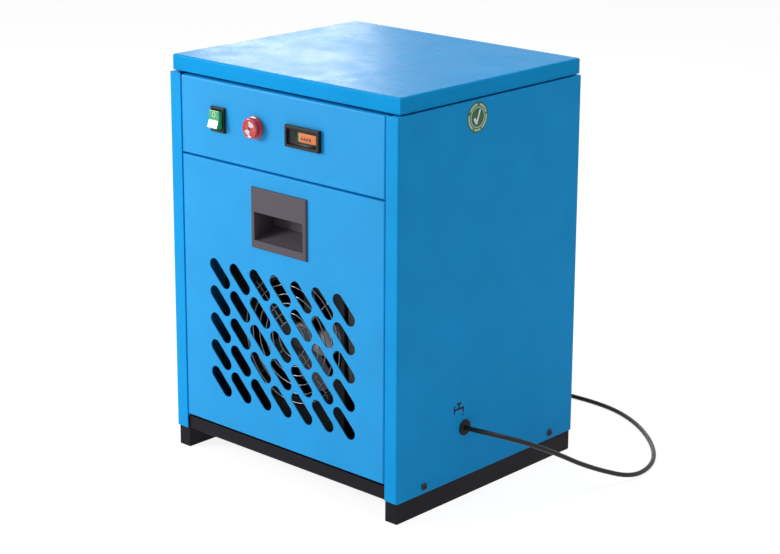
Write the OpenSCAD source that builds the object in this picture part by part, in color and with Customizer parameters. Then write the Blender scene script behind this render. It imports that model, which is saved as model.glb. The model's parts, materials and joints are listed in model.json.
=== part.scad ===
// Small refrigerated air dryer: sheet-steel cabinet, refrigerant circuit, heat exchanger and timed drain.
// Millimetres. X runs to the right, Y to the back, Z up. The origin is on the ground, under the middle.

/* [Cabinet] */
// Width over the side panels
cab_w = 390; // [380:5:460]
// Depth over the side panels
cab_d = 340; // [330:5:420]
// Height from the ground to the top of the cover
cab_h = 522; // [515:5:640]
// Thickness of the sheet steel
sheet = 1.5; // [1.2:0.1:2]
// Outer radius of the folded edges
fold_r = 2.5; // [2.2:0.1:4]
// Width of the folded front and rear edges of the side panels
flange_w = 20; // [18:1:24]
// Width of the folded top edges that carry the cover
ledge_w = 14; // [12:1:16]

/* [Base] */
// Width of a runner
runner_w = 19; // [17:1:24]
// Height of a runner
runner_h = 26; // [22:1:34]
// Distance of a runner from the outer face of the side panel
runner_inset = 2; // [1:0.5:4]
// Distance of the runner's ends from the front and the back
runner_end = 2.5; // [1:0.5:6]
// Height of the base pan's upturned lip
pan_lip = 18; // [15:1:22]

/* [Cover] */
// Height of the cover's lip
cover_lip = 20; // [17:1:26]
// Thickness of the foam strip under the cover
cover_gap = 2; // [1:0.5:4]
// Distance of the cover from the side and rear faces of the cabinet
cover_inset = 2; // [1:0.5:3]
// Distance of the cover from the front face of the cabinet
cover_front = 4.5; // [3:0.5:6]

/* [Front] */
// Gap round the front panels
panel_gap = 1.5; // [1:0.25:2.5]
// Depth of the folded edges of the front panels
return_d = 12; // [10:0.5:13]
// Height of the control panel
control_h = 99.5; // [90:0.5:120]
// Width of a grille slot
slot_w = 16.5; // [12:0.5:19]
// Length of a grille slot over its round ends
slot_l = 45; // [38:1:52]
// Slope of the grille slots, in degrees
slot_angle = -45; // [-60:5:-30]
// Distance between neighbouring slots
slot_pitch = 36; // [34:1:40]
// Slots in a row of the front grille
slot_columns = 7; // [5:1:7]
// Distance of the lowest slots from the lower edge of the front panel
grille_up = 42.7; // [36.7:0.5:48.7]
// Least distance of the highest slots from the handle
grille_down = 20; // [16:1:21]

/* [Handle] */
// Width of the flush handle
handle_w = 96; // [90:1:108]
// Height of the flush handle
handle_h = 77.5; // [69.5:1:85.5]
// Distance of the handle below the top of the front panel
handle_drop = 20.5; // [15.5:1:24.5]
// Depth of the handle's pocket behind the front face
pocket_d = 33; // [28:1:38]
// Width of the mouth of the pocket
mouth_w = 84; // [76:1:88]
// Height of the mouth of the pocket
mouth_h = 36; // [30:1:40]
// How much higher the pocket's floor is at the back than at the mouth
pocket_rise = 12; // [0:1:14]
// Rim of the handle under the mouth
handle_rim = 10.5; // [8.5:0.5:12.5]
// Thickness of the handle's plate in front of the panel
handle_t = 2.5; // [1.5:0.5:4]

/* [Controls] */
// Height of the middle of the controls above the control panel's lower edge
control_up = 52.2; // [48.2:0.5:56.2]
// Place of the rocker switch across the front
switch_x = -105; // [-115:1:-95]
// Width of the switch's frame
switch_w = 25; // [22:0.5:28]
// Height of the switch's frame
switch_h = 32; // [28:0.5:36]
// Angle that the rocker turns through
rocker_turn = 20; // [14:1:22]
// Place of the pilot lamp across the front
lamp_x = -40.5; // [-50.5:1:-35.5]
// Diameter of the pilot lamp's lens
lens_d = 25.5; // [22:0.5:28]
// How far the pilot lamp stands out of the panel
lamp_out = 10.5; // [9:0.5:13]
// Diameter of the hole for the pilot lamp
lamp_hole_d = 22.3; // [20:0.1:23]
// Place of the temperature indicator across the front
indicator_x = 43; // [34:1:55]
// Width of the indicator's frame
indicator_w = 57.5; // [53.5:1:63.5]
// Height of the indicator's frame
indicator_h = 27; // [24:1:32]

/* [Fan and condenser] */
// Distance of the fan's orifice from the end of the condenser
fan_margin = 5; // [3:1:9]
// Height of the fan's axle
fan_z = 170; // [165:1:175]
// Radius of the fan's blades
blade_r = 75; // [60:1:76]
// Radial clearance round the blades
blade_gap = 4; // [3:0.5:4]
// Number of fan blades
blade_count = 5; // [4:1:6]
// Free width between the condenser and the heat exchanger
core_gap = 30; // [26:1:34]
// Depth of the condenser
core_d = 44; // [40:1:46]
// Height of the condenser's fins
core_h = 220; // [215:1:226]
// Distance between the condenser's rows of tube
row_pitch = 30; // [28:1:31]
// Outer diameter of the condenser's tube
coil_tube_d = 9.5; // [8:0.5:10]
// Depth of the fan shroud
shroud_d = 62; // [60:1:64]

/* [Compressor] */
// Outer radius of the compressor's shell
shell_r = 64; // [55:1:66]
// Height of the compressor's shell
shell_h = 170; // [150:1:180]

/* [Heat exchanger] */
// Width of the insulated heat exchanger
exchanger_w = 98; // [90:1:100]
// Depth of the insulated heat exchanger
exchanger_d = 202; // [190:1:206]
// Height of the insulated heat exchanger
exchanger_h = 264; // [250:1:266]
// Height of the exchanger's shelf above the ground
exchanger_z = 128; // [126:1:129]

/* [Air ports] */
// Radius of the wall of the air ports' threaded hole
port_r = 9.3; // [8:0.1:10]
// Depth of the threaded hole
port_depth = 15; // [12:0.5:16]
// How far the ports stand out behind the cabinet
port_out = 12.1; // [11.1:0.5:14.1]
// Height of the air ports
port_z = 350; // [340:1:365]
// Distance between the two air ports
port_pitch = 50; // [45:1:54]

/* [Drain] */
// Place of the drain outlet along the side, from the middle
drain_y = -47; // [-50:1:-44]
// Height of the drain outlet
drain_z = 91.5; // [90:0.5:93]
// Outer diameter of the drain hose
hose_d = 6; // [5:0.5:6]
// Radial clearance between the hose and its grommet
hose_gap = 0.2; // [0.1:0.1:0.4]
// Travel of the timer's test button
button_travel = 2; // [1:0.5:3]

/* [Clearances] */
// Clearance between a removable piece and what it lies beside
side_gap = 0.3; // [0.2:0.05:0.5]
// Radial clearance of an axle or pin that turns in its hole
run_gap = 0.05; // [0.02:0.01:0.1]
// Radial clearance of a screw in its hole
screw_gap = 0.2; // [0.1:0.05:0.4]

/* [Hidden] */
$fn = 48;
hw = cab_w / 2;
hd = cab_d / 2;
front = -hd;
runner_cx = hw - runner_inset - runner_w / 2;
pan_top = runner_h + sheet;
lip_top = runner_h + pan_lip;
side_bottom = runner_h + 1;
cover_bottom = cab_h - cover_lip;
side_top = cover_bottom - cover_gap;
rear_in = hd - 2 * sheet;
// Front panels
panel_hw = hw - flange_w - panel_gap;
control_top = side_top - 1;
control_bottom = control_top - control_h;
door_top = control_bottom - 2;
door_bottom = lip_top + 3;
panel_back = front + sheet;
// Posts behind the front flanges, and the snap catches that they carry
post_d = 14;
post_back = panel_back + post_d;
tab_front = post_back - sheet;
stud_r = 2.5;
stud_x = panel_hw - 13.5;
stud_inset = 22;
stud_zs = [door_bottom + stud_inset, door_top - stud_inset];
stud_gap = 0.3;
catch_r = 7;
catch_l = 6;
// Screws
m4_r = 2;
m6_r = 3;
side_screw_z = 36;
side_screw_ys = [front + 49, hd - 47];
rear_screw_zs = [runner_h + 34, cab_h / 2, side_top - 30];
runner_bolt_ys = [front + 50, hd - 50];
// Handle
handle_top = door_top - handle_drop;
handle_bottom = handle_top - handle_h;
mouth_bottom = handle_bottom + handle_rim;
mouth_top = mouth_bottom + mouth_h;
cup_wall = 2;
pocket_top = handle_top - 5;
// Grille: as many rows as fit between the lower edge and the handle
slot_rise = (slot_l - slot_w) * abs(sin(slot_angle)) + slot_w;
slot_rows = 1 + floor((handle_bottom - grille_down - door_bottom - grille_up - slot_rise) / slot_pitch);
grille_z = door_bottom + grille_up + (slot_rise + (slot_rows - 1) * slot_pitch) / 2;
// Controls
control_z = control_bottom + control_up;
bezel_t = 3.5;
indicator_t = 5;
switch_wall = 1.6;
rocker_w = switch_w - 7.2;
rocker_hh = switch_h / 2 - 4.8;
rocker_out = 9.6;
pivot_y = front - 1;
rocker_pin_r = 1.25;
lamp_ring_t = 3;
lens_wall = 1.5;
indicator_rim = 4;
window_w = indicator_w - 2 * indicator_rim;
window_h = indicator_h - 2 * indicator_rim;
// Condenser and fan
core_x0 = -hw + 33;
core_w = hw - 13 - exchanger_w - core_gap - core_x0;
core_z0 = 60;
core_y0 = -50;
plate_t = 1.5;
plate_foot = 10;
row_count = 7;
row_z0 = core_z0 + (core_h - (row_count - 1) * row_pitch) / 2;
column_ys = [core_y0 + core_d / 4, core_y0 + core_d * 3 / 4];
tube_out = 3;
fin_pitch = 9;
fin_t = 0.8;
shroud_t = 1.2;
shroud_y = core_y0 - shroud_d;
shroud_z0 = core_z0 - 2;
shroud_h = core_h + 4;
shroud_cx = core_x0 + core_w / 2;
orifice_r = blade_r + blade_gap;
fan_x = core_x0 + core_w - orifice_r - fan_margin;
hub_r = 20;
fan_y = shroud_y + 13;
bracket_y = shroud_y + 24.5;
motor_r = 31;
motor_l = 34;
shaft_r = 3;
guard_wire = 1;
guard_y = shroud_y - 8;
guard_rings = [for (k = [0:5]) orifice_r + 4 - k * 12];
// Compressor
comp_x = core_x0 + 78;
comp_y = hd - 84;
foot_z = 42;
foot_t = 3;
shell_z = foot_z + foot_t;
rim_z = shell_z + shell_h * 0.46;
rim_h = 6;
rim_out = 3;
foot_xs = [-60, 60];
foot_ys = [-45, 45];
stub_x = comp_x + 24;
stub_top = shell_z + shell_h + 8;
stub_r = 5.5;
// Exchanger
ex_x1 = hw - 13;
ex_x0 = ex_x1 - exchanger_w;
ex_y0 = front + 18;
ex_y1 = ex_y0 + exchanger_d;
ex_z1 = exchanger_z + exchanger_h;
foam_r = 22;
// Refrigerant lines
line_wall = 0.8;
line_bend = 10;
gas_r = 4;
gas_x = core_x0 + core_w + 20;
gas_z = core_z0 + core_h + 20;
gas_y = ex_y1 + 12;
inlet_z = row_z0 + (row_count - 1) * row_pitch;
filter_x = gas_x - 2;
filter_y = ex_y1 + 20;
filter_r = 11;
filter_z0 = row_z0 + 16;
filter_h = 90;
liquid_z = row_z0 - 22;
capillary_r = 1.5;
suction_r = 6;
suction_z = 180;
suction_y = filter_y + filter_r + suction_r + 13;
bypass_x = comp_x + 94;
bypass_z = gas_z + 32;
// Air ports
port_xs = [ex_x1 - 27 - port_pitch, ex_x1 - 27];
neck_r = 13;
pipe_r = 10;
pipe_wall = 2;
port_in = rear_in - 17;
// Drain train
drain_x = ex_x1 - 42;
strainer_y = drain_y + 57;
strainer_r = 11;
lever_y = strainer_y - 24;
valve_y0 = drain_y - 19;
valve_y1 = drain_y + 19;
coil_y0 = valve_y0 - 40;
timer_l = 44;
timer_y0 = coil_y0 - timer_l;
timer_w = 50;
knob_r = 6;
knob_x = 12;
knob_z = drain_z + 7;
button_r = 3.5;
button_z = drain_z - 13;
knob_pin_r = 2;
grommet_r = 10;
grommet_neck_r = 7.8;
grommet_t = 2.5;
hose_r = hose_d / 2;
// Cable gland
gland_x = hw - 85;
gland_z = pan_top + 52;

// Route of the free drain hose, from the grommet to the coil
hose_route = [
    [hw + 4, drain_y, drain_z], [212, -45, 91.4], [228, -40, 90.3], [243, -31, 87.2], [257, -18, 82],
    [268, -3, 75], [277, 14, 66], [285, 35, 54], [292, 57, 41], [299, 80, 29],
    [306, 103, 18.5], [313, 124, 10.5], [317, 146, 5.8], [315, 170, 4.2], [307, 195, 3.9],
    [293, 219, 3.9], [273, 243, 3.9], [246, 268, 3.9], [214, 291, 3.9], [180, 308, 3.9],
    [149, 317, 3.9], [116, 320, 3.9], [86, 319, 3.9], [66, 318.4, 3.9]];
// Coil of the stored hose
loop_count = 4.5;
loop_pitch = 6.6;
loop_r0 = 25.6;
layer_h = 6.5;
coil_x = 54;
coil_out_r = loop_r0 + loop_pitch * loop_count / 2;
coil_y = 318.4 - coil_out_r;
coil_z = 3.9;
coil_rings = 24;
tie_t = 0.8;

// ---- Outlines and sheet-metal shapes ----

function unit(v) = v / norm(v);

// Points of one corner of an outline: an arc of radius b[2] at b, between its neighbours a and c
function corner(a, b, c) =
    b[2] <= 0 ? [[b[0], b[1]]] :
    let (p = [b[0], b[1]],
         u = unit([a[0], a[1]] - p),
         v = unit([c[0], c[1]] - p),
         half = acos(u * v) / 2,
         centre = p + unit(u + v) * b[2] / sin(half),
         s = p + u * b[2] / tan(half) - centre,
         e = p + v * b[2] / tan(half) - centre,
         a0 = atan2(s[1], s[0]),
         turn = atan2(s[0] * e[1] - s[1] * e[0], s * e),
         n = max(2, ceil(abs(turn) / 18)))
    [for (i = [0:n]) centre + b[2] * [cos(a0 + turn * i / n), sin(a0 + turn * i / n)]];

// A closed outline whose corners are [x, y, radius]
function outline(p) = let (n = len(p))
    [for (i = [0:n - 1]) each corner(p[(i + n - 1) % n], p[i], p[(i + 1) % n])];

function rect(x0, y0, x1, y1, r = 0) =
    outline([[x0, y0, r], [x1, y0, r], [x1, y1, r], [x0, y1, r]]);

// Extrusions of outlines drawn as (x, y), (x, z) and (y, z)
module along_z(z0, z1) {
    translate([0, 0, z0]) linear_extrude(z1 - z0) children();
}

module along_y(y0, y1) {
    translate([0, y1, 0]) rotate([90, 0, 0]) linear_extrude(y1 - y0) children();
}

module along_x(x0, x1) {
    translate([x0, 0, 0]) rotate([90, 0, 90]) linear_extrude(x1 - x0) children();
}

// Block between two opposite corners
module block(a, b) {
    translate(a) cube(b - a);
}

// Round bars and holes along each axis, from one end to the other
module bar_x(x0, x1, y, z, r) {
    translate([x0, y, z]) rotate([0, 90, 0]) cylinder(h = x1 - x0, r = r);
}

module bar_y(y0, y1, x, z, r) {
    translate([x, y1, z]) rotate([90, 0, 0]) cylinder(h = y1 - y0, r = r);
}

module bar_z(z0, z1, x, y, r) {
    translate([x, y, z0]) cylinder(h = z1 - z0, r = r);
}

// Hexagonal bar along Y, given across its flats
module hex_y(y0, y1, x, z, flats) {
    translate([x, y1, z]) rotate([90, 0, 0]) cylinder(h = y1 - y0, d = flats / cos(30), $fn = 6);
}

// Block with its face at z = 0 and rounded edges round that face
module soft_block(w, l, d, r) {
    intersection() {
        along_y(-l / 2, l / 2)
            polygon(outline([[-w / 2, 0, r], [w / 2, 0, r], [w / 2, d, 0], [-w / 2, d, 0]]));
        along_x(-w / 2, w / 2)
            polygon(outline([[-l / 2, 0, r], [l / 2, 0, r], [l / 2, d, 0], [-l / 2, d, 0]]));
    }
}

// Folded tray: a face at z = 0 and four lips that stand up to z = d
module tray(w, l, d, t, r) {
    difference() {
        soft_block(w, l, d, r);
        translate([0, 0, t]) soft_block(w - 2 * t, l - 2 * t, d, max(r - t, 0.4));
    }
}

// Front panel with its face at the front of the cabinet, from z0 to z1
module front_tray(z0, z1) {
    translate([0, front, (z0 + z1) / 2])
        rotate([-90, 0, 0])
            tray(2 * panel_hw, z1 - z0, return_d, sheet, fold_r);
}

// One slot with round ends, drawn in the plane of its panel
module slot(w, l) {
    square([l - w, w], center = true);
    for (s = [-1, 1]) translate([s * (l - w) / 2, 0]) circle(d = w, $fn = 32);
}

module slot_field(columns, rows, cx, cz) {
    for (i = [0:columns - 1], k = [0:rows - 1])
        translate([cx + (i - (columns - 1) / 2) * slot_pitch, cz + (k - (rows - 1) / 2) * slot_pitch])
            rotate(slot_angle) slot(slot_w, slot_l);
}

// ---- Pipes: straight stretches joined by round elbows at right angles ----

function side_of(d) = abs(d[2]) > 0.5 ? [1, 0, 0] : [0, 0, 1];

module stretch(a, b, r, lap) {
    d = unit(b - a);
    u = side_of(d);
    v = cross(d, u);
    s = a - d * lap[0];
    multmatrix([[u[0], v[0], d[0], s[0]], [u[1], v[1], d[1], s[1]], [u[2], v[2], d[2], s[2]], [0, 0, 0, 1]])
        cylinder(h = norm(b - a) + lap[0] + lap[1], r = r);
}

module elbow(p, d1, d2, bend, r) {
    c = p - d1 * bend + d2 * bend;
    u = -d2;
    v = d1;
    w = cross(u, v);
    multmatrix([[u[0], v[0], w[0], c[0]], [u[1], v[1], w[1], c[1]], [u[2], v[2], w[2], c[2]], [0, 0, 0, 1]])
        rotate_extrude(angle = 90) translate([bend, 0]) circle(r = r, $fn = 24);
}

module pipe_solid(p, r, bend, lap = 0) {
    n = len(p) - 1;
    for (i = [0:n - 1]) {
        d = unit(p[i + 1] - p[i]);
        a = i == 0 ? p[0] : p[i] + d * bend;
        b = i == n - 1 ? p[n] : p[i + 1] - d * bend;
        if (norm(b - a) > 0.01) stretch(a, b, r, [i == 0 ? lap : 0, i == n - 1 ? lap : 0]);
        if (i < n - 1) elbow(p[i + 1], d, unit(p[i + 2] - p[i + 1]), bend, r);
    }
}

module pipe(p, r, bend, wall) {
    difference() {
        pipe_solid(p, r, bend);
        pipe_solid(p, r - wall, bend, 1);
    }
}

// ---- Swept tubes for the loose hose ----

function tangent(p, i) = unit(p[min(i + 1, len(p) - 1)] - p[max(i - 1, 0)]);

// Ring of n points round point i of a path, kept level by the world's vertical
function ring(p, i, r, n) =
    let (t = tangent(p, i), u = unit(cross([0, 0, 1], t)), v = cross(t, u))
    [for (k = [0:n - 1]) p[i] + r * (cos(360 * (k + 0.5) / n) * u + sin(360 * (k + 0.5) / n) * v)];

module swept_tube(p, r, n) {
    m = len(p);
    points = [for (i = [0:m - 1]) each ring(p, i, r, n)];
    sides = [for (i = [0:m - 2], k = [0:n - 1], f = [0, 1])
        let (a = i * n + k, b = i * n + (k + 1) % n)
        f == 0 ? [a, a + n, b] : [b, a + n, b + n]];
    starts = [for (k = [1:n - 2]) [0, k, k + 1]];
    ends = [for (k = [1:n - 2]) [(m - 1) * n, (m - 1) * n + k + 1, (m - 1) * n + k]];
    polyhedron(points = points, faces = concat(sides, starts, ends));
}

// Smooth curve through a list of points (Catmull-Rom), with k steps between neighbours
function spline_point(a, b, c, d, t) =
    0.5 * (2 * b + (c - a) * t + (2 * a - 5 * b + 4 * c - d) * t * t + (3 * b - a - 3 * c + d) * t * t * t);

function smooth_path(p, k) =
    [for (i = [0:len(p) - 2], j = [0:k - 1])
        spline_point(p[max(i - 1, 0)], p[i], p[i + 1], p[min(i + 2, len(p) - 1)], j / k),
     p[len(p) - 1]];

// ---- Base ----

module runner(side) {
    color("#26232b")
    difference() {
        translate([side * runner_cx, 0, 0])
            block([-runner_w / 2, front + runner_end, 0], [runner_w / 2, hd - runner_end, runner_h]);
        translate([side * runner_cx, 0, 0])
            block([-runner_w / 2 + sheet, front + runner_end + sheet, -1],
                  [runner_w / 2 - sheet, hd - runner_end - sheet, runner_h - sheet]);
        for (y = runner_bolt_ys)
            bar_z(runner_h - 2 * sheet, runner_h + 1, side * runner_cx, y, m6_r + screw_gap);
    }
}

module left_runner() {
    runner(-1);
}

module right_runner() {
    runner(1);
}

module base_pan() {
    pan_w = 2 * (hw - sheet);
    pan_front = front + fold_r + 0.1;
    pan_l = rear_in - pan_front;
    color("#2a272f")
    difference() {
        translate([0, (rear_in + pan_front) / 2, runner_h]) tray(pan_w, pan_l, pan_lip, sheet, fold_r);
        for (s = [-1, 1], y = runner_bolt_ys)
            bar_z(runner_h - 1, pan_top + 1, s * runner_cx, y, m6_r + screw_gap);
        for (x = foot_xs, y = foot_ys)
            bar_z(runner_h - 1, pan_top + 1, comp_x + x, comp_y + y, m6_r + screw_gap);
        for (y = side_screw_ys) bar_x(-hw, hw, y, side_screw_z, m4_r + screw_gap);
    }
}

// ---- Cabinet ----

module side_panel(side) {
    color("#0a82c4")
    difference() {
        union() {
            along_z(side_bottom, side_top) mirror([side < 0 ? 1 : 0, 0])
                polygon(outline([
                    [hw - flange_w, front, 0], [hw, front, fold_r],
                    [hw, hd, fold_r], [hw - flange_w, hd, 0],
                    [hw - flange_w, hd - sheet, 0], [hw - sheet, hd - sheet, fold_r - sheet],
                    [hw - sheet, front + sheet, fold_r - sheet], [hw - flange_w, front + sheet, 0]]));
            along_z(side_top - sheet, side_top) mirror([side < 0 ? 1 : 0, 0])
                polygon(rect(hw - ledge_w, panel_back + 0.5, hw - sheet / 2, rear_in - 0.5));
        }
        for (y = side_screw_ys) bar_x(-hw - 1, hw + 1, y, side_screw_z, m4_r + screw_gap);
        for (z = rear_screw_zs) bar_y(rear_in, hd + 1, side * (hw - flange_w / 2), z, m4_r + screw_gap);
        if (side > 0) bar_x(hw - 2 * sheet, hw + 1, drain_y, drain_z, grommet_neck_r + screw_gap);
    }
}

module left_side_panel() {
    side_panel(-1);
}

module right_side_panel() {
    side_panel(1);
}

module rear_panel() {
    w = hw - fold_r - side_gap;
    color("#0f86c8")
    difference() {
        union() {
            along_y(rear_in, rear_in + sheet) polygon(rect(-w, side_bottom, w, side_top));
            block([-hw + ledge_w + 1, rear_in - ledge_w, side_top - sheet],
                  [hw - ledge_w - 1, rear_in + sheet / 2, side_top]);
        }
        along_y(rear_in - 1, hd) slot_field(5, 4, comp_x + 24, grille_z + slot_pitch / 2);
        for (x = port_xs) bar_y(rear_in - 1, hd, x, port_z, neck_r + screw_gap);
        bar_y(rear_in - 1, hd, gland_x, gland_z, 8 + screw_gap);
        for (s = [-1, 1], z = rear_screw_zs)
            bar_y(rear_in - 1, hd, s * (hw - flange_w / 2), z, m4_r + screw_gap);
    }
}

module top_cover() {
    w = cab_w - 2 * cover_inset;
    l = cab_d - cover_inset - cover_front;
    rim = ledge_w - cover_inset;
    color("#55aee4")
    translate([0, (cover_front - cover_inset) / 2, 0])
    union() {
        translate([0, 0, cab_h]) rotate([180, 0, 0]) tray(w, l, cover_lip, sheet, fold_r);
        difference() {
            block([-w / 2 + sheet / 2, -l / 2 + sheet / 2, cover_bottom],
                  [w / 2 - sheet / 2, l / 2 - sheet / 2, cover_bottom + sheet]);
            block([-w / 2 + rim, -l / 2 + rim, cover_bottom - 1],
                  [w / 2 - rim, l / 2 - rim, cover_bottom + 2 * sheet]);
        }
    }
}

// Foam strips between the cabinet's ledges and the cover
module cover_seal() {
    color("#1c1c1e")
    for (part = [-1, 0, 1])
        if (part == 0)
            block([-hw + ledge_w + 4, rear_in - ledge_w + 3, side_top],
                  [hw - ledge_w - 4, rear_in - 4, cover_bottom]);
        else
            translate([part * (hw - ledge_w / 2 - 2), 0, 0])
                block([-3, front + cover_front + 6, side_top], [3, rear_in - ledge_w - 4, cover_bottom]);
}

// Angles spot-welded behind the front flanges, with tabs for the snap catches
module front_posts() {
    x0 = panel_hw + side_gap;
    color("#0b6ea8")
    for (s = [0, 1]) mirror([s, 0, 0])
        difference() {
            union() {
                along_z(lip_top, side_top - 2 * sheet)
                    polygon([[x0, panel_back], [hw - 4, panel_back], [hw - 4, panel_back + sheet],
                             [x0 + sheet, panel_back + sheet], [x0 + sheet, post_back], [x0, post_back]]);
                for (z = stud_zs)
                    block([stud_x - 10, tab_front, z - 10], [x0 + sheet / 2, post_back, z + 10]);
            }
            for (z = stud_zs) bar_y(tab_front - 1, post_back + 1, stud_x, z, stud_r + 2 * stud_gap);
        }
}

module panel_catches() {
    color("#3a3a3e")
    for (s = [-1, 1], z = stud_zs)
        difference() {
            bar_y(tab_front - catch_l, tab_front, s * stud_x, z, catch_r);
            bar_y(tab_front - catch_l - 1, tab_front + 1, s * stud_x, z, stud_r + stud_gap);
        }
}

module control_panel() {
    color("#2ea8ec")
    difference() {
        front_tray(control_bottom, control_top);
        block([switch_x - rocker_w / 2 - 2, front - 1, control_z - switch_h / 2 + 2],
              [switch_x + rocker_w / 2 + 2, panel_back + 1, control_z + switch_h / 2 - 2]);
        bar_y(front - 1, panel_back + 1, lamp_x, control_z, lamp_hole_d / 2);
        block([indicator_x - window_w / 2 - 1, front - 1, control_z - window_h / 2 - 1],
              [indicator_x + window_w / 2 + 1, panel_back + 1, control_z + window_h / 2 + 1]);
    }
}

module front_panel() {
    color("#2ea8ec")
    union() {
        difference() {
            front_tray(door_bottom, door_top);
            along_y(front - 1, panel_back + 1) slot_field(slot_columns, slot_rows, 0, grille_z);
            block([-handle_w / 2 + 3, front - 1, handle_bottom + 3],
                  [handle_w / 2 - 3, panel_back + 1, handle_top - 3]);
        }
        for (s = [-1, 1], z = stud_zs) bar_y(panel_back - sheet / 2, post_back + 1, s * stud_x, z, stud_r);
    }
}

// Flush handle: a plate on the front, and a pocket behind it that reaches up behind the plate
module handle_cup() {
    hx = handle_w / 2;
    mx = mouth_w / 2;
    inside = pocket_top - cup_wall;
    in_front = front + cup_wall;
    in_back = front + pocket_d - cup_wall;
    floor_back = mouth_bottom + pocket_rise;
    color("#3b373d")
    difference() {
        union() {
            translate([0, front - handle_t, (handle_bottom + handle_top) / 2])
                rotate([-90, 0, 0]) soft_block(handle_w, handle_h, handle_t, 2);
            along_x(-mx - cup_wall, mx + cup_wall)
                polygon([[front - handle_t / 2, mouth_bottom - cup_wall], [in_front, mouth_bottom - cup_wall],
                         [front + pocket_d, floor_back - cup_wall], [front + pocket_d, pocket_top],
                         [front - handle_t / 2, pocket_top]]);
        }
        along_x(-mx, mx)
            polygon([[front - handle_t - 1, mouth_bottom], [in_front, mouth_bottom], [in_back, floor_back],
                     [in_back, inside], [in_front, inside], [in_front, mouth_top],
                     [front - handle_t - 1, mouth_top]]);
    }
}

// ---- Screws ----

module side_screws() {
    color("#17161a")
    for (s = [0, 1], y = side_screw_ys) mirror([s, 0, 0])
        union() {
            translate([hw, y, side_screw_z]) rotate([0, 90, 0]) rotate_extrude()
                polygon(outline([[0, 0, 0], [4.75, 0, 0], [4.4, 3, 2.8], [0, 3, 0]]));
            bar_x(hw - 10, hw + 0.5, y, side_screw_z, m4_r);
        }
}

module rear_screws() {
    color("#17161a")
    for (s = [-1, 1], z = rear_screw_zs)
        union() {
            bar_y(hd, hd + 2.2, s * (hw - flange_w / 2), z, 3.5);
            bar_y(rear_in - 6, hd + 0.5, s * (hw - flange_w / 2), z, m4_r);
        }
}

// A hexagon bolt that stands head up, with its nut below
module bolt(x, y, seat, nut_top, length) {
    translate([x, y, seat]) cylinder(h = 4, d = 10 / cos(30), $fn = 6);
    bar_z(seat - length, seat + 1, x, y, m6_r);
    translate([x, y, nut_top - 5]) cylinder(h = 5, d = 10 / cos(30), $fn = 6);
}

module base_bolts() {
    color("#b9bcc0") {
        for (s = [-1, 1], y = runner_bolt_ys) bolt(s * runner_cx, y, pan_top, runner_h - sheet, 12);
        for (x = foot_xs, y = foot_ys) bolt(comp_x + x, comp_y + y, shell_z, runner_h, 26);
    }
}

// ---- Controls ----

module switch_housing() {
    rw = rocker_w / 2 + 0.4;
    color("#1b1a1d")
    difference() {
        union() {
            translate([switch_x, front - bezel_t, control_z])
                rotate([-90, 0, 0]) soft_block(switch_w, switch_h, bezel_t, 1.5);
            block([switch_x - rw - switch_wall, front - 1, control_z - switch_h / 2 + 2.5],
                  [switch_x + rw + switch_wall, front + 22, control_z + switch_h / 2 - 2.5]);
            for (z = [-7, 7])
                block([switch_x - 3, front + 21, control_z + z - 0.4],
                      [switch_x + 3, front + 31, control_z + z + 0.4]);
        }
        block([switch_x - rw, front - bezel_t - 1, control_z - switch_h / 2 + 3.4],
              [switch_x + rw, front + 14, control_z + switch_h / 2 - 3.4]);
        bar_x(switch_x - rw - 1.1, switch_x + rw + 1.1, pivot_y, control_z, rocker_pin_r + run_gap);
    }
}

// Saddle-shaped rocker on its pin, with its upper half pressed in
module switch_rocker() {
    color("#2f9a4e")
    translate([switch_x, pivot_y, control_z])
        union() {
            rotate([-rocker_turn / 2, 0, 0])
                along_x(-rocker_w / 2, rocker_w / 2)
                    polygon(outline([
                        [-rocker_out, -rocker_hh, 0.8], [-rocker_out + 2, 0, 16], [-rocker_out, rocker_hh, 0.8],
                        [-1, rocker_hh, 0.5], [8, 5, 0.5], [8, -5, 0.5], [-1, -rocker_hh, 0.5]]));
            bar_x(-rocker_w / 2 - 1.3, rocker_w / 2 + 1.3, 0, 0, rocker_pin_r);
        }
}

module lamp_housing() {
    color("#2b2b2e")
    union() {
        bar_y(front - 1, front + 26, lamp_x, control_z, lamp_hole_d / 2 - 0.15);
        bar_y(front + 25, front + 36, lamp_x, control_z, 8);
        difference() {
            hex_y(panel_back, panel_back + 4, lamp_x, control_z, 26);
            bar_y(panel_back - 1, panel_back + 5, lamp_x, control_z, lamp_hole_d / 2 - 0.5);
        }
        bar_y(front - lamp_out + 4.5, front - 0.5, lamp_x, control_z, 4);
        bar_y(front - lamp_out + 3.5, front - lamp_out + 5, lamp_x, control_z, lens_d / 2 - lens_wall - 0.6);
    }
}

// Hollow lens with a flange that lies on the panel
module lamp_lens() {
    r = lens_d / 2;
    color("#d21f2e", 0.7)
    translate([lamp_x, front, control_z]) rotate([90, 0, 0])
        difference() {
            rotate_extrude()
                polygon(outline([[0, 0, 0], [r + 1.5, 0, 0], [r + 1.5, lamp_ring_t, 1], [r, lamp_ring_t, 0],
                                 [r, lamp_out, 2], [0, lamp_out, 0]]));
            translate([0, 0, -1]) cylinder(h = lamp_out - lens_wall + 1, r = r - lens_wall);
        }
}

module indicator_case() {
    color("#1a191c")
    difference() {
        union() {
            translate([indicator_x, front - indicator_t, control_z])
                rotate([-90, 0, 0]) soft_block(indicator_w, indicator_h, indicator_t, 1.2);
            block([indicator_x - window_w / 2 - 0.8, front - 1, control_z - window_h / 2 - 0.8],
                  [indicator_x + window_w / 2 + 0.8, front + 24, control_z + window_h / 2 + 0.8]);
        }
        block([indicator_x - window_w / 2, front - indicator_t - 1, control_z - window_h / 2],
              [indicator_x + window_w / 2, front - 1, control_z + window_h / 2]);
    }
}

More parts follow.
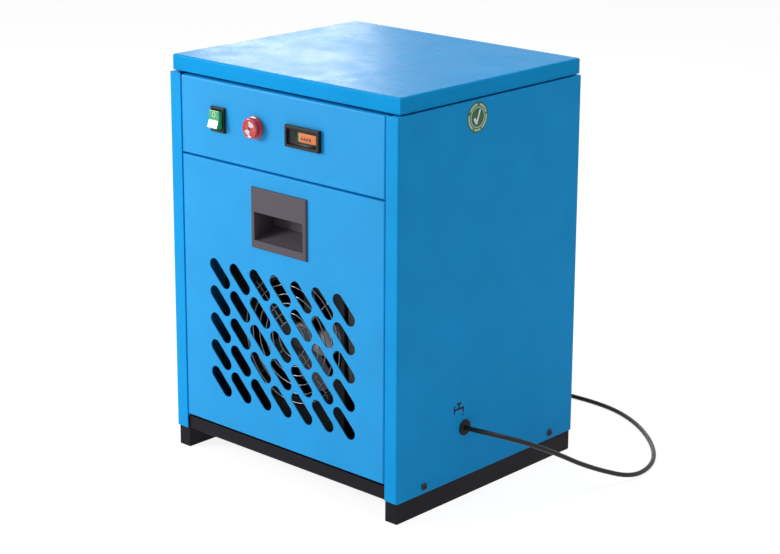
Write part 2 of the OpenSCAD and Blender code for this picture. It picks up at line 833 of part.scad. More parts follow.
module indicator_scale() {
    color("#e07a35")
    block([indicator_x - window_w / 2 + 0.2, front - 1.8, control_z - window_h / 2 + 0.2],
          [indicator_x + window_w / 2 - 0.2, front - 1, control_z + window_h / 2 - 0.2]);
}

module indicator_window() {
    color("#dfe6ea", 0.3)
    block([indicator_x - window_w / 2 + 0.2, front - 2.8, control_z - window_h / 2 + 0.2],
          [indicator_x + window_w / 2 - 0.2, front - 1.8, control_z + window_h / 2 - 0.2]);
}

// ---- Condenser and fan ----

// The plate of a fin or an end, drawn as (y, z), with a hole for each tube
module tube_plate(z0, z1, grow) {
    difference() {
        translate([core_y0, z0]) square([core_d, z1 - z0]);
        for (y = column_ys, i = [0:row_count - 1])
            translate([y, row_z0 + i * row_pitch]) circle(r = coil_tube_d / 2 + grow);
    }
}

module condenser_fins() {
    count = floor((core_w - 2 * plate_t - fin_t) / fin_pitch);
    margin = (core_w - (count - 1) * fin_pitch) / 2;
    color("#c3c7ca")
    for (i = [0:count - 1])
        along_x(core_x0 + margin + i * fin_pitch - fin_t / 2, core_x0 + margin + i * fin_pitch + fin_t / 2)
            tube_plate(core_z0, core_z0 + core_h, run_gap);
}

module condenser_plates() {
    color("#8d9296")
    for (s = [0, 1])
        translate([s == 0 ? core_x0 : core_x0 + core_w - plate_t, 0, 0])
            union() {
                along_x(0, plate_t) tube_plate(pan_top, shroud_z0 + shroud_h, run_gap);
                block([s == 0 ? -plate_foot : 0, core_y0, pan_top],
                      [s == 0 ? plate_t : plate_t + plate_foot, core_y0 + core_d, pan_top + plate_t]);
            }
}

// One U-bend that joins the tube ends at a and b, on the side that dir points to
module u_bend(a, b, dir) {
    c = (a + b) / 2;
    u = unit(a - b);
    v = [dir, 0, 0];
    w = cross(u, v);
    multmatrix([[u[0], v[0], w[0], c[0]], [u[1], v[1], w[1], c[1]], [u[2], v[2], w[2], c[2]], [0, 0, 0, 1]])
        rotate_extrude(angle = 180) translate([norm(a - b) / 2, 0]) circle(d = coil_tube_d, $fn = 24);
}

// Serpentine tube: U-bends join the two columns on the left, and row to row on the right
module condenser_tubes() {
    xl = core_x0 - tube_out;
    xr = core_x0 + core_w + tube_out;
    top = row_count - 1;
    color("#b5693f")
    union() {
        for (k = [0, 1], i = [0:top])
            bar_x(xl, (i == top && k == 1) || (i == 0 && k == 0) ? xr + 3 : xr,
                  column_ys[k], row_z0 + i * row_pitch, coil_tube_d / 2);
        for (i = [0:top])
            u_bend([xl, column_ys[0], row_z0 + i * row_pitch],
                   [xl, column_ys[1], row_z0 + i * row_pitch], -1);
        for (i = [0:top - 1])
            u_bend([xr, column_ys[(i + 1) % 2], row_z0 + i * row_pitch],
                   [xr, column_ys[(i + 1) % 2], row_z0 + (i + 1) * row_pitch], 1);
    }
}

module fan_shroud() {
    color("#4a4d52")
    difference() {
        translate([shroud_cx, shroud_y, shroud_z0 + shroud_h / 2]) rotate([-90, 0, 0])
            tray(core_w, shroud_h, shroud_d, shroud_t, 2);
        bar_y(shroud_y - 1, shroud_y + shroud_t + 1, fan_x, fan_z, orifice_r);
        bar_y(shroud_y - 1, shroud_y + shroud_t + 1, core_x0 + 22, shroud_z0 + shroud_h - 30, 5);
    }
}

// Wire guard: round rings on four spokes, whose ends stand on the shroud
module fan_guard() {
    reach = guard_rings[0] + 5;
    color("#c9ccd0")
    translate([fan_x, guard_y, fan_z]) rotate([-90, 0, 0])
        union() {
            for (r = guard_rings) rotate_extrude() translate([r, 0]) circle(r = guard_wire, $fn = 16);
            for (a = [45:90:315]) rotate(a) {
                translate([guard_rings[5], 0, 1.4 * guard_wire]) rotate([0, 90, 0])
                    cylinder(h = reach - guard_rings[5], r = guard_wire, $fn = 16);
                translate([reach, 0, 0]) cylinder(h = shroud_y - guard_y, r = guard_wire * 2, $fn = 16);
            }
        }
}

module motor_bracket() {
    x0 = core_x0 + shroud_t;
    x1 = core_x0 + core_w - shroud_t;
    color("#74787d")
    difference() {
        union() {
            block([x0, bracket_y, fan_z - 12], [x1, bracket_y + plate_t, fan_z + 12]);
            block([x0, bracket_y, fan_z - 12], [x0 + plate_t, bracket_y + 18, fan_z + 12]);
            block([x1 - plate_t, bracket_y, fan_z - 12], [x1, bracket_y + 18, fan_z + 12]);
        }
        bar_y(bracket_y - 1, bracket_y + plate_t + 1, fan_x, fan_z, 7.5);
    }
}

module fan_motor() {
    face = bracket_y + plate_t;
    color("#3d4045")
    difference() {
        union() {
            bar_y(face, face + motor_l, fan_x, fan_z, motor_r);
            bar_y(bracket_y - 1.5, face + 1, fan_x, fan_z, 7.3);
        }
        bar_y(bracket_y - 3, face + 20, fan_x, fan_z, shaft_r + run_gap);
    }
}

// One pitched blade, drawn flat and turned about its own arm
module blade() {
    rotate([22, 0, 0])
        along_z(-0.8, 0.8)
            polygon(outline([[hub_r - 3, -9, 0], [blade_r * 0.94, -22, 9], [blade_r * 0.99, 9, 5],
                             [blade_r * 0.8, 21, 12], [hub_r - 3, 9, 0]]));
}

module fan_blades() {
    color("#9a9ea3")
    translate([fan_x, fan_y, fan_z]) rotate([-90, 0, 0])
        union() {
            translate([0, 0, -7]) cylinder(h = 15, r = hub_r);
            for (k = [0:blade_count - 1]) rotate(k * 360 / blade_count) blade();
            translate([0, 0, -9]) cylinder(h = bracket_y - fan_y + plate_t + 27, r = shaft_r);
        }
}

// ---- Compressor ----

module compressor_shell() {
    x = foot_xs[1] + 14;
    y = foot_ys[1] + 12;
    rim = rim_z - shell_z;
    color("#1e1e21")
    translate([comp_x, comp_y, 0])
        union() {
            translate([0, 0, shell_z]) rotate_extrude()
                polygon(outline([
                    [0, 0, 0], [shell_r * 0.62, 0, 8], [shell_r, 26, 26], [shell_r, rim, 0],
                    [shell_r + rim_out, rim, 1], [shell_r + rim_out, rim + rim_h, 1],
                    [shell_r, rim + rim_h, 0],
                    [shell_r, shell_h - 26, 26], [shell_r * 0.55, shell_h, 14], [0, shell_h, 0]]));
            difference() {
                along_z(foot_z, foot_z + foot_t) polygon(rect(-x, -y, x, y, 12));
                for (fx = foot_xs, fy = foot_ys) bar_z(foot_z - 1, shell_z + 1, fx, fy, m6_r + screw_gap);
            }
            bar_z(stub_top - 28, stub_top, stub_x - comp_x, gas_y - comp_y, stub_r);
        }
}

module compressor_grommets() {
    color("#141416")
    for (x = foot_xs, y = foot_ys)
        difference() {
            bar_z(pan_top, foot_z, comp_x + x, comp_y + y, 11);
            bar_z(pan_top - 1, foot_z + 1, comp_x + x, comp_y + y, m6_r + screw_gap);
        }
}

module terminal_cover() {
    color("#25252a")
    difference() {
        translate([comp_x, comp_y - 6, shell_z + 55])
            along_z(0, 64) polygon(rect(shell_r - 12, -24, shell_r + 30, 24, 4));
        bar_z(shell_z + 50, shell_z + 125, comp_x, comp_y, shell_r + side_gap);
        bar_z(rim_z - 1, rim_z + rim_h + 1, comp_x, comp_y, shell_r + rim_out + side_gap);
    }
}

// ---- Refrigerant circuit ----

module discharge_line() {
    color("#b5693f")
    pipe([[stub_x, gas_y, stub_top], [stub_x, gas_y, gas_z], [gas_x, gas_y, gas_z],
          [gas_x, column_ys[1], gas_z], [gas_x, column_ys[1], inlet_z],
          [core_x0 + core_w + tube_out + 3, column_ys[1], inlet_z]], gas_r, line_bend, line_wall);
}

// Hot-gas valve on the discharge line, with its tube to the exchanger
module bypass_valve() {
    color("#b08a45")
    union() {
        bar_z(gas_z + gas_r, bypass_z - 14, bypass_x, gas_y, 3);
        bar_z(bypass_z - 15, bypass_z + 16, bypass_x, gas_y, 13);
        translate([bypass_x, gas_y, bypass_z + 16]) cylinder(h = 16, d = 20 / cos(30), $fn = 6);
        pipe_solid([[bypass_x + 12, gas_y, bypass_z], [ex_x0 + 20, gas_y, bypass_z],
                    [ex_x0 + 20, ex_y1, bypass_z]], 3, 8);
    }
}

module liquid_line() {
    color("#b5693f")
    pipe([[core_x0 + core_w + tube_out + 3, column_ys[0], row_z0], [filter_x, column_ys[0], row_z0],
          [filter_x, column_ys[0], liquid_z], [filter_x, filter_y, liquid_z],
          [filter_x, filter_y, filter_z0]], gas_r, line_bend, line_wall);
}

module filter_dryer() {
    color("#b9764a")
    translate([filter_x, filter_y, filter_z0]) rotate_extrude()
        polygon(outline([[0, 0, 0], [gas_r + 1, 0, 0], [filter_r, 12, 5], [filter_r, filter_h - 12, 5],
                         [3, filter_h, 0], [0, filter_h, 0]]));
}

module capillary_tube() {
    z = filter_z0 + filter_h;
    color("#b5693f")
    pipe_solid([[filter_x, filter_y, z], [filter_x, filter_y, z + 30], [ex_x0 + 26, filter_y, z + 30],
                [ex_x0 + 26, ex_y1, z + 30]], capillary_r, 8);
}

module suction_line() {
    dy = suction_y - comp_y;
    reach = sqrt(shell_r * shell_r - dy * dy);
    color("#a8603a")
    difference() {
        pipe([[ex_x1 - 30, ex_y1, suction_z], [ex_x1 - 30, suction_y, suction_z],
              [comp_x + reach - 6, suction_y, suction_z]], suction_r, 16, line_wall);
        bar_z(suction_z - 20, suction_z + 20, comp_x, comp_y, shell_r);
    }
}

// ---- Heat exchanger ----

module exchanger_foam() {
    color("#222126")
    along_z(exchanger_z, ex_z1) polygon(rect(ex_x0, ex_y0, ex_x1, ex_y1, foam_r));
}

// Folded stand: a foot on the base pan, an upright and a shelf
module exchanger_stand() {
    color("#8d9296")
    difference() {
        union() {
            block([ex_x0, ex_y1 - sheet, pan_top], [ex_x1, ex_y1, exchanger_z]);
            block([ex_x0, ex_y1 - sheet / 2, pan_top], [ex_x1, ex_y1 + 16, pan_top + sheet]);
            block([ex_x0, ex_y1 - 92, exchanger_z - sheet], [ex_x1, ex_y1, exchanger_z]);
        }
        bar_z(exchanger_z - 2 * sheet, exchanger_z + 1, drain_x, strainer_y, 8);
    }
}

// Brass port: hexagon and threaded mouth outside, neck through the rear panel
module air_port(x) {
    color("#c9b27a")
    difference() {
        union() {
            hex_y(rear_in + sheet, hd + port_out, x, port_z, 30);
            bar_y(port_in, hd, x, port_z, neck_r);
        }
        bar_y(hd + port_out - port_depth, hd + port_out + 1, x, port_z, port_r);
        bar_y(port_in - 1, hd + port_out, x, port_z, pipe_r - pipe_wall);
    }
}

module air_inlet_port() {
    air_port(port_xs[1]);
}

module air_outlet_port() {
    air_port(port_xs[0]);
}

module port_nuts() {
    color("#b8a26c")
    for (x = port_xs)
        difference() {
            hex_y(rear_in - 6, rear_in, x, port_z, 34);
            bar_y(rear_in - 7, rear_in + 1, x, port_z, neck_r + 0.1);
        }
}

module air_pipes() {
    color("#b5693f")
    for (x = port_xs)
        difference() {
            bar_y(ex_y1, port_in, x, port_z, pipe_r);
            bar_y(ex_y1 - 1, port_in + 1, x, port_z, pipe_r - pipe_wall);
        }
}

// ---- Drain ----

module drain_strainer() {
    color("#c2a564")
    union() {
        bar_z(drain_z, exchanger_z, drain_x, strainer_y, 5);
        bar_z(drain_z, drain_z + 20, drain_x, strainer_y, 9);
        bar_y(valve_y1, strainer_y + 14, drain_x, drain_z, strainer_r);
        hex_y(strainer_y + 13, strainer_y + 20, drain_x, drain_z, 19);
        bar_z(drain_z, drain_z + 17, drain_x, lever_y, 5);
    }
}

module strainer_lever() {
    z = drain_z + 17 + side_gap;
    color("#b3282d")
    translate([drain_x, lever_y, z])
        along_z(0, 2.5)
            polygon(outline([[-6, 6, 3], [-6, -10, 4], [-4, -40, 3.5],
                             [4, -40, 3.5], [6, -10, 4], [6, 6, 3]]));
}

module drain_valve() {
    fitting = hw - 21;
    color("#c2a564")
    union() {
        block([drain_x - 14, valve_y0, drain_z - 15], [drain_x + 14, valve_y1, drain_z + 15]);
        bar_x(drain_x + 13, fitting, drain_y, drain_z, 6);
        bar_y(valve_y0 - 4, valve_y0 + 1, drain_x, drain_z, 12);
    }
}

module drain_coil() {
    color("#202024")
    along_y(coil_y0, valve_y0 - 4) translate([drain_x, drain_z]) polygon(rect(-18, -18, 18, 18, 3));
}

module drain_timer() {
    color("#2a2a2f")
    difference() {
        translate([drain_x, timer_y0, drain_z]) rotate([-90, 0, 0]) soft_block(timer_w, timer_w, timer_l, 3);
        for (s = [-1, 1])
            bar_y(timer_y0 - 1, timer_y0 + 8, drain_x + s * knob_x, knob_z, knob_pin_r + run_gap);
        bar_y(timer_y0 - 1, timer_y0 + 8, drain_x, button_z, button_r + side_gap);
    }
}

module timer_knob(x) {
    color("#d8d9dc")
    difference() {
        union() {
            bar_y(timer_y0 - 5.5, timer_y0 - side_gap, x, knob_z, knob_r);
            bar_y(timer_y0 - 1, timer_y0 + 7, x, knob_z, knob_pin_r);
        }
        block([x - 0.6, timer_y0 - 6, knob_z], [x + 0.6, timer_y0 - 4.5, knob_z + knob_r + 1]);
    }
}

module on_time_knob() {
    timer_knob(drain_x - knob_x);
}

module off_time_knob() {
    timer_knob(drain_x + knob_x);
}

module test_button() {
    color("#c8342f")
    bar_y(timer_y0 - 3, timer_y0 + 7.5 - button_travel, drain_x, button_z, button_r);
}

module drain_grommet() {
    color("#17161a")
    difference() {
        union() {
            bar_x(hw - sheet - 2, hw - sheet, drain_y, drain_z, grommet_r);
            bar_x(hw - sheet - 0.5, hw + 0.5, drain_y, drain_z, grommet_neck_r);
            translate([hw, drain_y, drain_z]) rotate([0, 90, 0]) rotate_extrude()
                polygon(outline([[0, 0, 0], [grommet_r, 0, 0], [grommet_r, grommet_t, 1.6],
                                 [0, grommet_t, 0]]));
        }
        bar_x(hw - sheet - 3, hw + grommet_t + 1, drain_y, drain_z, hose_r + hose_gap);
    }
}

// The hose between the valve's fitting and the face of the grommet
module hose_lead() {
    color("#1c1b1f")
    bar_x(hw - 21, hw + grommet_t, drain_y, drain_z, hose_r);
}

module cable_gland() {
    color("#26262a")
    difference() {
        union() {
            hex_y(rear_in + sheet, rear_in + sheet + 5, gland_x, gland_z, 20);
            bar_y(rear_in + sheet + 4, rear_in + sheet + 13, gland_x, gland_z, 9);
            bar_y(rear_in - 9, rear_in + sheet + 1, gland_x, gland_z, 8);
            hex_y(rear_in - 5, rear_in, gland_x, gland_z, 22);
        }
        bar_y(rear_in - 10, hd + port_out, gland_x, gland_z, 4);
    }
}

// ---- Drain hose outside the cabinet ----

// The free hose leaves the grommet's face and meets the coil squarely
module drain_hose() {
    path = concat([[hw + grommet_t, drain_y, drain_z]], smooth_path(hose_route, 3),
                  [loop_point(0) + [hose_d, 0, 0]]);
    color("#1c1b1f") swept_tube(path, hose_r, 8);
}

// Place of the stored hose after t turns: the radius shrinks to the middle turn and grows again,
// and the hose climbs one layer in the half turn between
function ramp(x) = let (c = min(max(x, 0), 1)) c * c * (3 - 2 * c);
function loop_point(t) =
    let (m = t - loop_count / 2, r = loop_r0 + loop_pitch * abs(m), a = 90 + 360 * t)
    [coil_x + r * cos(a), coil_y + r * sin(a), coil_z + layer_h * ramp(2 * m + 0.5)];

function loop_path() =
    let (n = loop_count * coil_rings, s = loop_point(0), e = loop_point(loop_count),
         de = unit(e - loop_point(loop_count - 0.02)))
    concat([s + [hose_d, 0, 0]], [for (i = [0:n]) loop_point(i / coil_rings)], [e + de * hose_d]);

// Least distance between stretches of the stored hose that lie half a turn or more apart
function least_gap(p) = min([for (i = [0:len(p) - 1], j = [i + 12:1:len(p) - 1]) norm(p[i] - p[j])]) - hose_d;

module drain_hose_coil() {
    path = loop_path();
    echo(least_gap = least_gap(path));
    color("#1c1b1f") swept_tube(path, hose_r, 6);
}

// Strap round the loops, lying on the ground
module hose_tie() {
    gap = 0.4;
    y0 = coil_y - coil_out_r - hose_r - gap;
    y1 = coil_y - loop_r0 + hose_r + gap;
    z1 = coil_z + layer_h + hose_r + gap;
    color("#3a3a3e")
    along_x(coil_x - 5, coil_x + 5)
        difference() {
            polygon(rect(y0 - tie_t, 0, y1 + tie_t, z1 + tie_t, 2));
            polygon(rect(y0, tie_t, y1, z1, 1.4));
        }
}

left_runner();
right_runner();
base_pan();
left_side_panel();
right_side_panel();
rear_panel();
top_cover();
cover_seal();
front_posts();
control_panel();
front_panel();
panel_catches();
handle_cup();
side_screws();
rear_screws();
base_bolts();
switch_housing();
switch_rocker();
lamp_housing();
lamp_lens();
indicator_case();
indicator_scale();
indicator_window();
condenser_fins();
condenser_plates();
condenser_tubes();
fan_shroud();
fan_guard();
motor_bracket();
fan_motor();
fan_blades();
compressor_shell();
compressor_grommets();
terminal_cover();
discharge_line();
bypass_valve();
liquid_line();
filter_dryer();
capillary_tube();
suction_line();
exchanger_foam();
exchanger_stand();
air_inlet_port();
air_outlet_port();
port_nuts();
air_pipes();
drain_strainer();
strainer_lever();
drain_valve();
drain_coil();
drain_timer();
on_time_knob();
off_time_knob();
test_button();
drain_grommet();
hose_lead();
cable_gland();
drain_hose();
drain_hose_coil();
hose_tie();
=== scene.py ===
"""Small refrigerated air dryer: finishes, fine pieces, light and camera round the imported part.

Metres, in the part's own frame: X right, Y back, Z up, with the origin on the ground under the middle.
Sizes in the helpers' arguments are millimetres where a name ends in _mm and for every point given to mm().
"""
import json
import math

import bmesh
import bpy
import numpy as np
from mathutils import Matrix, Vector

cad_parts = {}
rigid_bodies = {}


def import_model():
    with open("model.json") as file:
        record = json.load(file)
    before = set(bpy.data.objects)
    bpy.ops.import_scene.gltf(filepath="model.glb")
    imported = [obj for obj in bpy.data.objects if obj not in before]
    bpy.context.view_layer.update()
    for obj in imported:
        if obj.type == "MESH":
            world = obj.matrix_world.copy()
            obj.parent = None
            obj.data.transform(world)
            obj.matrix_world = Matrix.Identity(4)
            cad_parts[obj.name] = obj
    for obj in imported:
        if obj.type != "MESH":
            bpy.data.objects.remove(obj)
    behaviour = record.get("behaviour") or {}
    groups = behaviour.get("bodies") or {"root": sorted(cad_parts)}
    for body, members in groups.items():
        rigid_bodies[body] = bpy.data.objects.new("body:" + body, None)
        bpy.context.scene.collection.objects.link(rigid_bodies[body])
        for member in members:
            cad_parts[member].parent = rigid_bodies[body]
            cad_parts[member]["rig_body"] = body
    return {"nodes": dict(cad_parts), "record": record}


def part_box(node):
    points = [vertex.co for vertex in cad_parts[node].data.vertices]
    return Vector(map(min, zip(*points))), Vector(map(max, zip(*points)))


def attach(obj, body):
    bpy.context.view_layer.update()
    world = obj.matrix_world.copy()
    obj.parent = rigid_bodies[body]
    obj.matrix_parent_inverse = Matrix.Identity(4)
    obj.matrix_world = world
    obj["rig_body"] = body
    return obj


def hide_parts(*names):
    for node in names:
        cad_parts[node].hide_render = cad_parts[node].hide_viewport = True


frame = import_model()
for default in ("Cube", "Light", "Camera"):
    if default in bpy.data.objects:
        bpy.data.objects.remove(bpy.data.objects[default])
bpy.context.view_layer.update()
node_slot = {part["node"]: part["material_slot"] for part in frame["record"]["subparts"]}
node_body = {name: obj["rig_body"] for name, obj in frame["nodes"].items()}


# ---- Camera ----

def set_camera():
    """A long lens to the right of the front, a metre above the ground and looking down a little."""
    forward = Vector((-0.652075, 0.712908, -0.257993)).normalized()
    upward = Vector((-0.17783, 0.186977, 0.966135))
    right = forward.cross(upward).normalized()
    upward = right.cross(forward)
    data = bpy.data.cameras.new("dryer_camera")
    data.sensor_width = 36.0
    data.lens = 93.863
    data.shift_y = -0.10
    data.clip_end = 30.0
    camera = bpy.data.objects.new("dryer_camera", data)
    turn = Matrix((right, upward, -forward)).transposed().to_4x4()
    camera.matrix_world = Matrix.Translation((1.70507, -1.83528, 1.0054)) @ turn
    bpy.context.scene.collection.objects.link(camera)
    bpy.context.scene.camera = camera


set_camera()


# ---- Shapes: each is a pair of point array and four-cornered face array ----

def mm(*points):
    """Points in millimetres as an array in metres."""
    return np.array(points, float) / 1000.0


def patchwork(grid, wrap_rows=False, wrap_cols=False):
    """A grid of points taken row by row; each cell between four neighbours is a face."""
    rows, cols = grid.shape[:2]
    i, j = np.meshgrid(np.arange(rows - (not wrap_rows)), np.arange(cols - (not wrap_cols)), indexing="ij")
    i2, j2 = (i + 1) % rows, (j + 1) % cols
    faces = np.stack([i * cols + j, i2 * cols + j, i2 * cols + j2, i * cols + j2], axis=-1)
    return grid.reshape(-1, 3), faces.reshape(-1, 4)


def frame_of(axis):
    """Three unit vectors, the last along axis."""
    w = np.array(axis, float) / np.linalg.norm(axis)
    helper = np.array([0.0, 0.0, 1.0]) if abs(w[2]) < 0.9 else np.array([1.0, 0.0, 0.0])
    u = np.cross(helper, w)
    u /= np.linalg.norm(u)
    return u, np.cross(w, u), w


def turned(profile, centre, axis, steps=48):
    """A profile of (radius, height) turned about an axis: centre + r cos a u + r sin a v + h w."""
    r, h = np.array(profile, float).T[:, :, None]
    a = np.linspace(0, 2 * np.pi, steps, endpoint=False)[None, :]
    u, v, w = frame_of(axis)
    grid = np.array(centre) + (r * np.cos(a))[..., None] * u
    grid = grid + (r * np.sin(a))[..., None] * v + (h + 0 * a)[..., None] * w
    return patchwork(grid, wrap_cols=True)


def tube(path, radius, sides=16):
    """A circle carried along a path without twist: a ring's frame is the last one, turned by the bend."""
    path = np.array(path, float)
    step = np.gradient(path, axis=0)
    step /= np.linalg.norm(step, axis=1)[:, None]
    u = frame_of(step[0])[0]
    sideways = []
    for direction in step:
        u = u - direction * (u @ direction)
        u /= np.linalg.norm(u)
        sideways.append(u)
    u = np.array(sideways)
    v = np.cross(step, u)
    a = np.linspace(0, 2 * np.pi, sides, endpoint=False)
    ring = np.cos(a)[None, :, None] * u[:, None, :] + np.sin(a)[None, :, None] * v[:, None, :]
    grid = path[:, None, :] + radius * ring
    start = np.repeat(path[:1, None, :], sides, axis=1)
    end = np.repeat(path[-1:, None, :], sides, axis=1)
    return patchwork(np.concatenate([start, grid, end]), wrap_cols=True)


def pillow_block(low, high, round_mm, steps=6):
    """A block with round edges and corners: a small sphere whose eight eighths are moved to the corners."""
    low, high = np.array(low, float), np.array(high, float)
    radius = min(round_mm / 1000.0, 0.4999 * float((high - low).min()))
    quarter = np.linspace(0, np.pi / 2, steps)
    around = np.concatenate([quarter + k * np.pi / 2 for k in range(4)])
    corner = np.repeat(np.arange(4), steps)
    sx = np.where((corner == 0) | (corner == 3), 1, -1)
    sy = np.where(corner < 2, 1, -1)
    tilt = np.concatenate([quarter - np.pi / 2, quarter])
    sz = np.repeat([-1, 1], steps)
    half, middle = (high - low) / 2 - radius, (high + low) / 2
    x = middle[0] + half[0] * sx[None, :] + radius * np.cos(tilt)[:, None] * np.cos(around)[None, :]
    y = middle[1] + half[1] * sy[None, :] + radius * np.cos(tilt)[:, None] * np.sin(around)[None, :]
    z = middle[2] + half[2] * sz[:, None] + radius * np.sin(tilt)[:, None] + 0 * x
    rows = np.stack([x, y, z], axis=-1)
    centre_low = np.array([middle[0], middle[1], low[2]])
    centre_high = np.array([middle[0], middle[1], high[2]])
    bottom = np.repeat(centre_low[None, None, :], 4 * steps, axis=1)
    top = np.repeat(centre_high[None, None, :], 4 * steps, axis=1)
    return patchwork(np.concatenate([bottom, rows, top]), wrap_cols=True)


def ribbon(line, width, back, front, u, v, n):
    """A flat bar of even width along a line in the plane of u and v, standing from back to front along n."""
    line = np.array(line, float)
    along = np.gradient(line, axis=0)
    along /= np.linalg.norm(along, axis=1)[:, None]
    side = np.stack([-along[:, 1], along[:, 0]], axis=1) * (width / 2)
    edges = [(line + side, back), (line + side, front), (line - side, front), (line - side, back)]
    ring = [flat[:, :1] * u + flat[:, 1:] * v + depth * n for flat, depth in edges]
    grid = np.stack(ring, axis=1)
    middle = grid.mean(axis=1, keepdims=True)
    caps = [np.repeat(middle[k:k + 1], 4, axis=1) for k in (0, -1)]
    return patchwork(np.concatenate([caps[0], grid, caps[1]]), wrap_cols=True)


def put(name, shapes, body, material, replaces=(), smooth_deg=35):
    """One piece of one or more shapes: doubles merged, faces turned outwards, soft at small angles."""
    points, faces, base = [], [], 0
    for p, f in shapes:
        points.append(p)
        faces.append(f + base)
        base += len(p)
    mesh = bpy.data.meshes.new(name)
    mesh.from_pydata(np.concatenate(points).tolist(), [], np.concatenate(faces).tolist())
    work = bmesh.new()
    work.from_mesh(mesh)
    bmesh.ops.remove_doubles(work, verts=work.verts, dist=1e-6)
    bmesh.ops.dissolve_degenerate(work, edges=work.edges, dist=1e-7)
    bmesh.ops.recalc_face_normals(work, faces=work.faces)
    work.to_mesh(mesh)
    work.free()
    mesh.polygons.foreach_set("use_smooth", np.ones(len(mesh.polygons), bool))
    mesh.set_sharp_from_angle(angle=math.radians(smooth_deg))
    return place(name, mesh, body, material, replaces)


def place(name, mesh, body, material, replaces=()):
    """Links a finished mesh, gives it its finish and lets it ride on its body."""
    mesh.materials.clear()
    mesh.materials.append(material)
    piece = bpy.data.objects.new(name, mesh)
    bpy.context.scene.collection.objects.link(piece)
    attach(piece, body)
    if replaces:
        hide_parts(*replaces)
    return piece


flat_deg, sharp_deg = 0.6, 38


def finished(node, material, edge_mm):
    """A rigid part's own shape with its triangles merged to whole faces and its hard edges rounded."""
    mesh = frame["nodes"][node].data.copy()
    work = bmesh.new()
    work.from_mesh(mesh)
    bmesh.ops.remove_doubles(work, verts=work.verts, dist=1e-5)
    bmesh.ops.dissolve_limit(work, angle_limit=math.radians(flat_deg), verts=work.verts, edges=work.edges)
    work.to_mesh(mesh)
    work.free()
    mesh.polygons.foreach_set("use_smooth", np.ones(len(mesh.polygons), bool))
    mesh.set_sharp_from_angle(angle=math.radians(sharp_deg))
    piece = place(node + "_finished", mesh, node_body[node], material, (node,))
    if edge_mm > 0:
        edge = piece.modifiers.new("rounded_edges", "BEVEL")
        edge.width = edge_mm / 1000.0
        edge.segments = 2
        edge.limit_method = "ANGLE"
        edge.angle_limit = math.radians(sharp_deg)
        edge.use_clamp_overlap = False
        edge.miter_outer = "MITER_ARC"
        flat = piece.modifiers.new("even_shading", "WEIGHTED_NORMAL")
        flat.keep_sharp = False
        flat.weight = 80
    return piece


# ---- Finishes ----

class Finish:
    """A material's node tree: nodes are added by kind, and values go onto the surface shader's sockets."""

    def __init__(self, name, colour, rough, **sockets):
        self.material = bpy.data.materials.new(name)
        self.material.use_nodes = True
        self.tree = self.material.node_tree
        self.shader = self.tree.nodes["Principled BSDF"]
        self.shader.inputs["Base Color"].default_value = (*colour, 1.0)
        self.shader.inputs["Roughness"].default_value = rough
        for key, value in sockets.items():
            self.shader.inputs[key.replace("_", " ")].default_value = value
        self.colour, self.rough = colour, rough
        self.place = self.add("ShaderNodeTexCoord").outputs["Object"]
        self.height = None

    def add(self, kind, **values):
        node = self.tree.nodes.new(kind)
        for key, value in values.items():
            setattr(node, key, value)
        return node

    def link(self, a, b):
        self.tree.links.new(a, b)

    def noise(self, size_mm, detail=2.0, stretch=(1, 1, 1)):
        """Smooth noise whose patches are about size_mm across, longer where stretch is above one."""
        source = self.place
        if tuple(stretch) != (1, 1, 1):
            turn = self.add("ShaderNodeMapping")
            turn.inputs["Scale"].default_value = [1.0 / s for s in stretch]
            self.link(source, turn.inputs["Vector"])
            source = turn.outputs["Vector"]
        node = self.add("ShaderNodeTexNoise")
        node.inputs["Scale"].default_value = 1000.0 / size_mm
        node.inputs["Detail"].default_value = detail
        self.link(source, node.inputs["Vector"])
        return node.outputs["Fac"]

    def between(self, factor, low, high, start=0.3, end=0.7):
        """A value that runs from low to high as the factor runs from start to end."""
        node = self.add("ShaderNodeMapRange")
        node.inputs["From Min"].default_value = start
        node.inputs["From Max"].default_value = end
        node.inputs["To Min"].default_value = low
        node.inputs["To Max"].default_value = high
        self.link(factor, node.inputs["Value"])
        return node.outputs["Result"]

    def mix(self, factor, a, b):
        """The colour a where the factor is nought and b where it is one."""
        node = self.add("ShaderNodeMix", data_type="RGBA")
        for key, value in (("A", a), ("B", b)):
            socket = [s for s in node.inputs if s.name == key and s.type == "RGBA"][0]
            if isinstance(value, tuple):
                socket.default_value = (*value, 1.0)
            else:
                self.link(value, socket)
        self.link(factor, node.inputs["Factor"])
        return [s for s in node.outputs if s.type == "RGBA"][0]

    def patches(self, size_mm, spread, rough_spread=0.0, stretch=(1, 1, 1)):
        """Soft patches: the colour spreads by that share to either side, the roughness by rough_spread."""
        factor = self.noise(size_mm, 3.0, stretch)
        dark = tuple(c * (1 - spread) for c in self.colour)
        light = tuple(min(1.0, c * (1 + spread)) for c in self.colour)
        self.link(self.mix(self.between(factor, 0.0, 1.0), dark, light), self.shader.inputs["Base Color"])
        if rough_spread:
            uneven = self.noise(size_mm * 0.6, 3.0, stretch)
            rough = self.between(uneven, self.rough - rough_spread, self.rough + rough_spread)
            self.link(rough, self.shader.inputs["Roughness"])
        return self

    def grain(self, size_mm, depth_mm, strength=0.5, stretch=(1, 1, 1), detail=2.0):
        """Fine relief of the surface; called again, it lays one relief on another."""
        bump = self.add("ShaderNodeBump")
        bump.inputs["Strength"].default_value = strength
        bump.inputs["Distance"].default_value = depth_mm / 1000.0
        self.link(self.noise(size_mm, detail, stretch), bump.inputs["Height"])
        if self.height is not None:
            self.link(self.height, bump.inputs["Normal"])
        self.height = bump.outputs["Normal"]
        self.link(self.height, self.shader.inputs["Normal"])
        return self


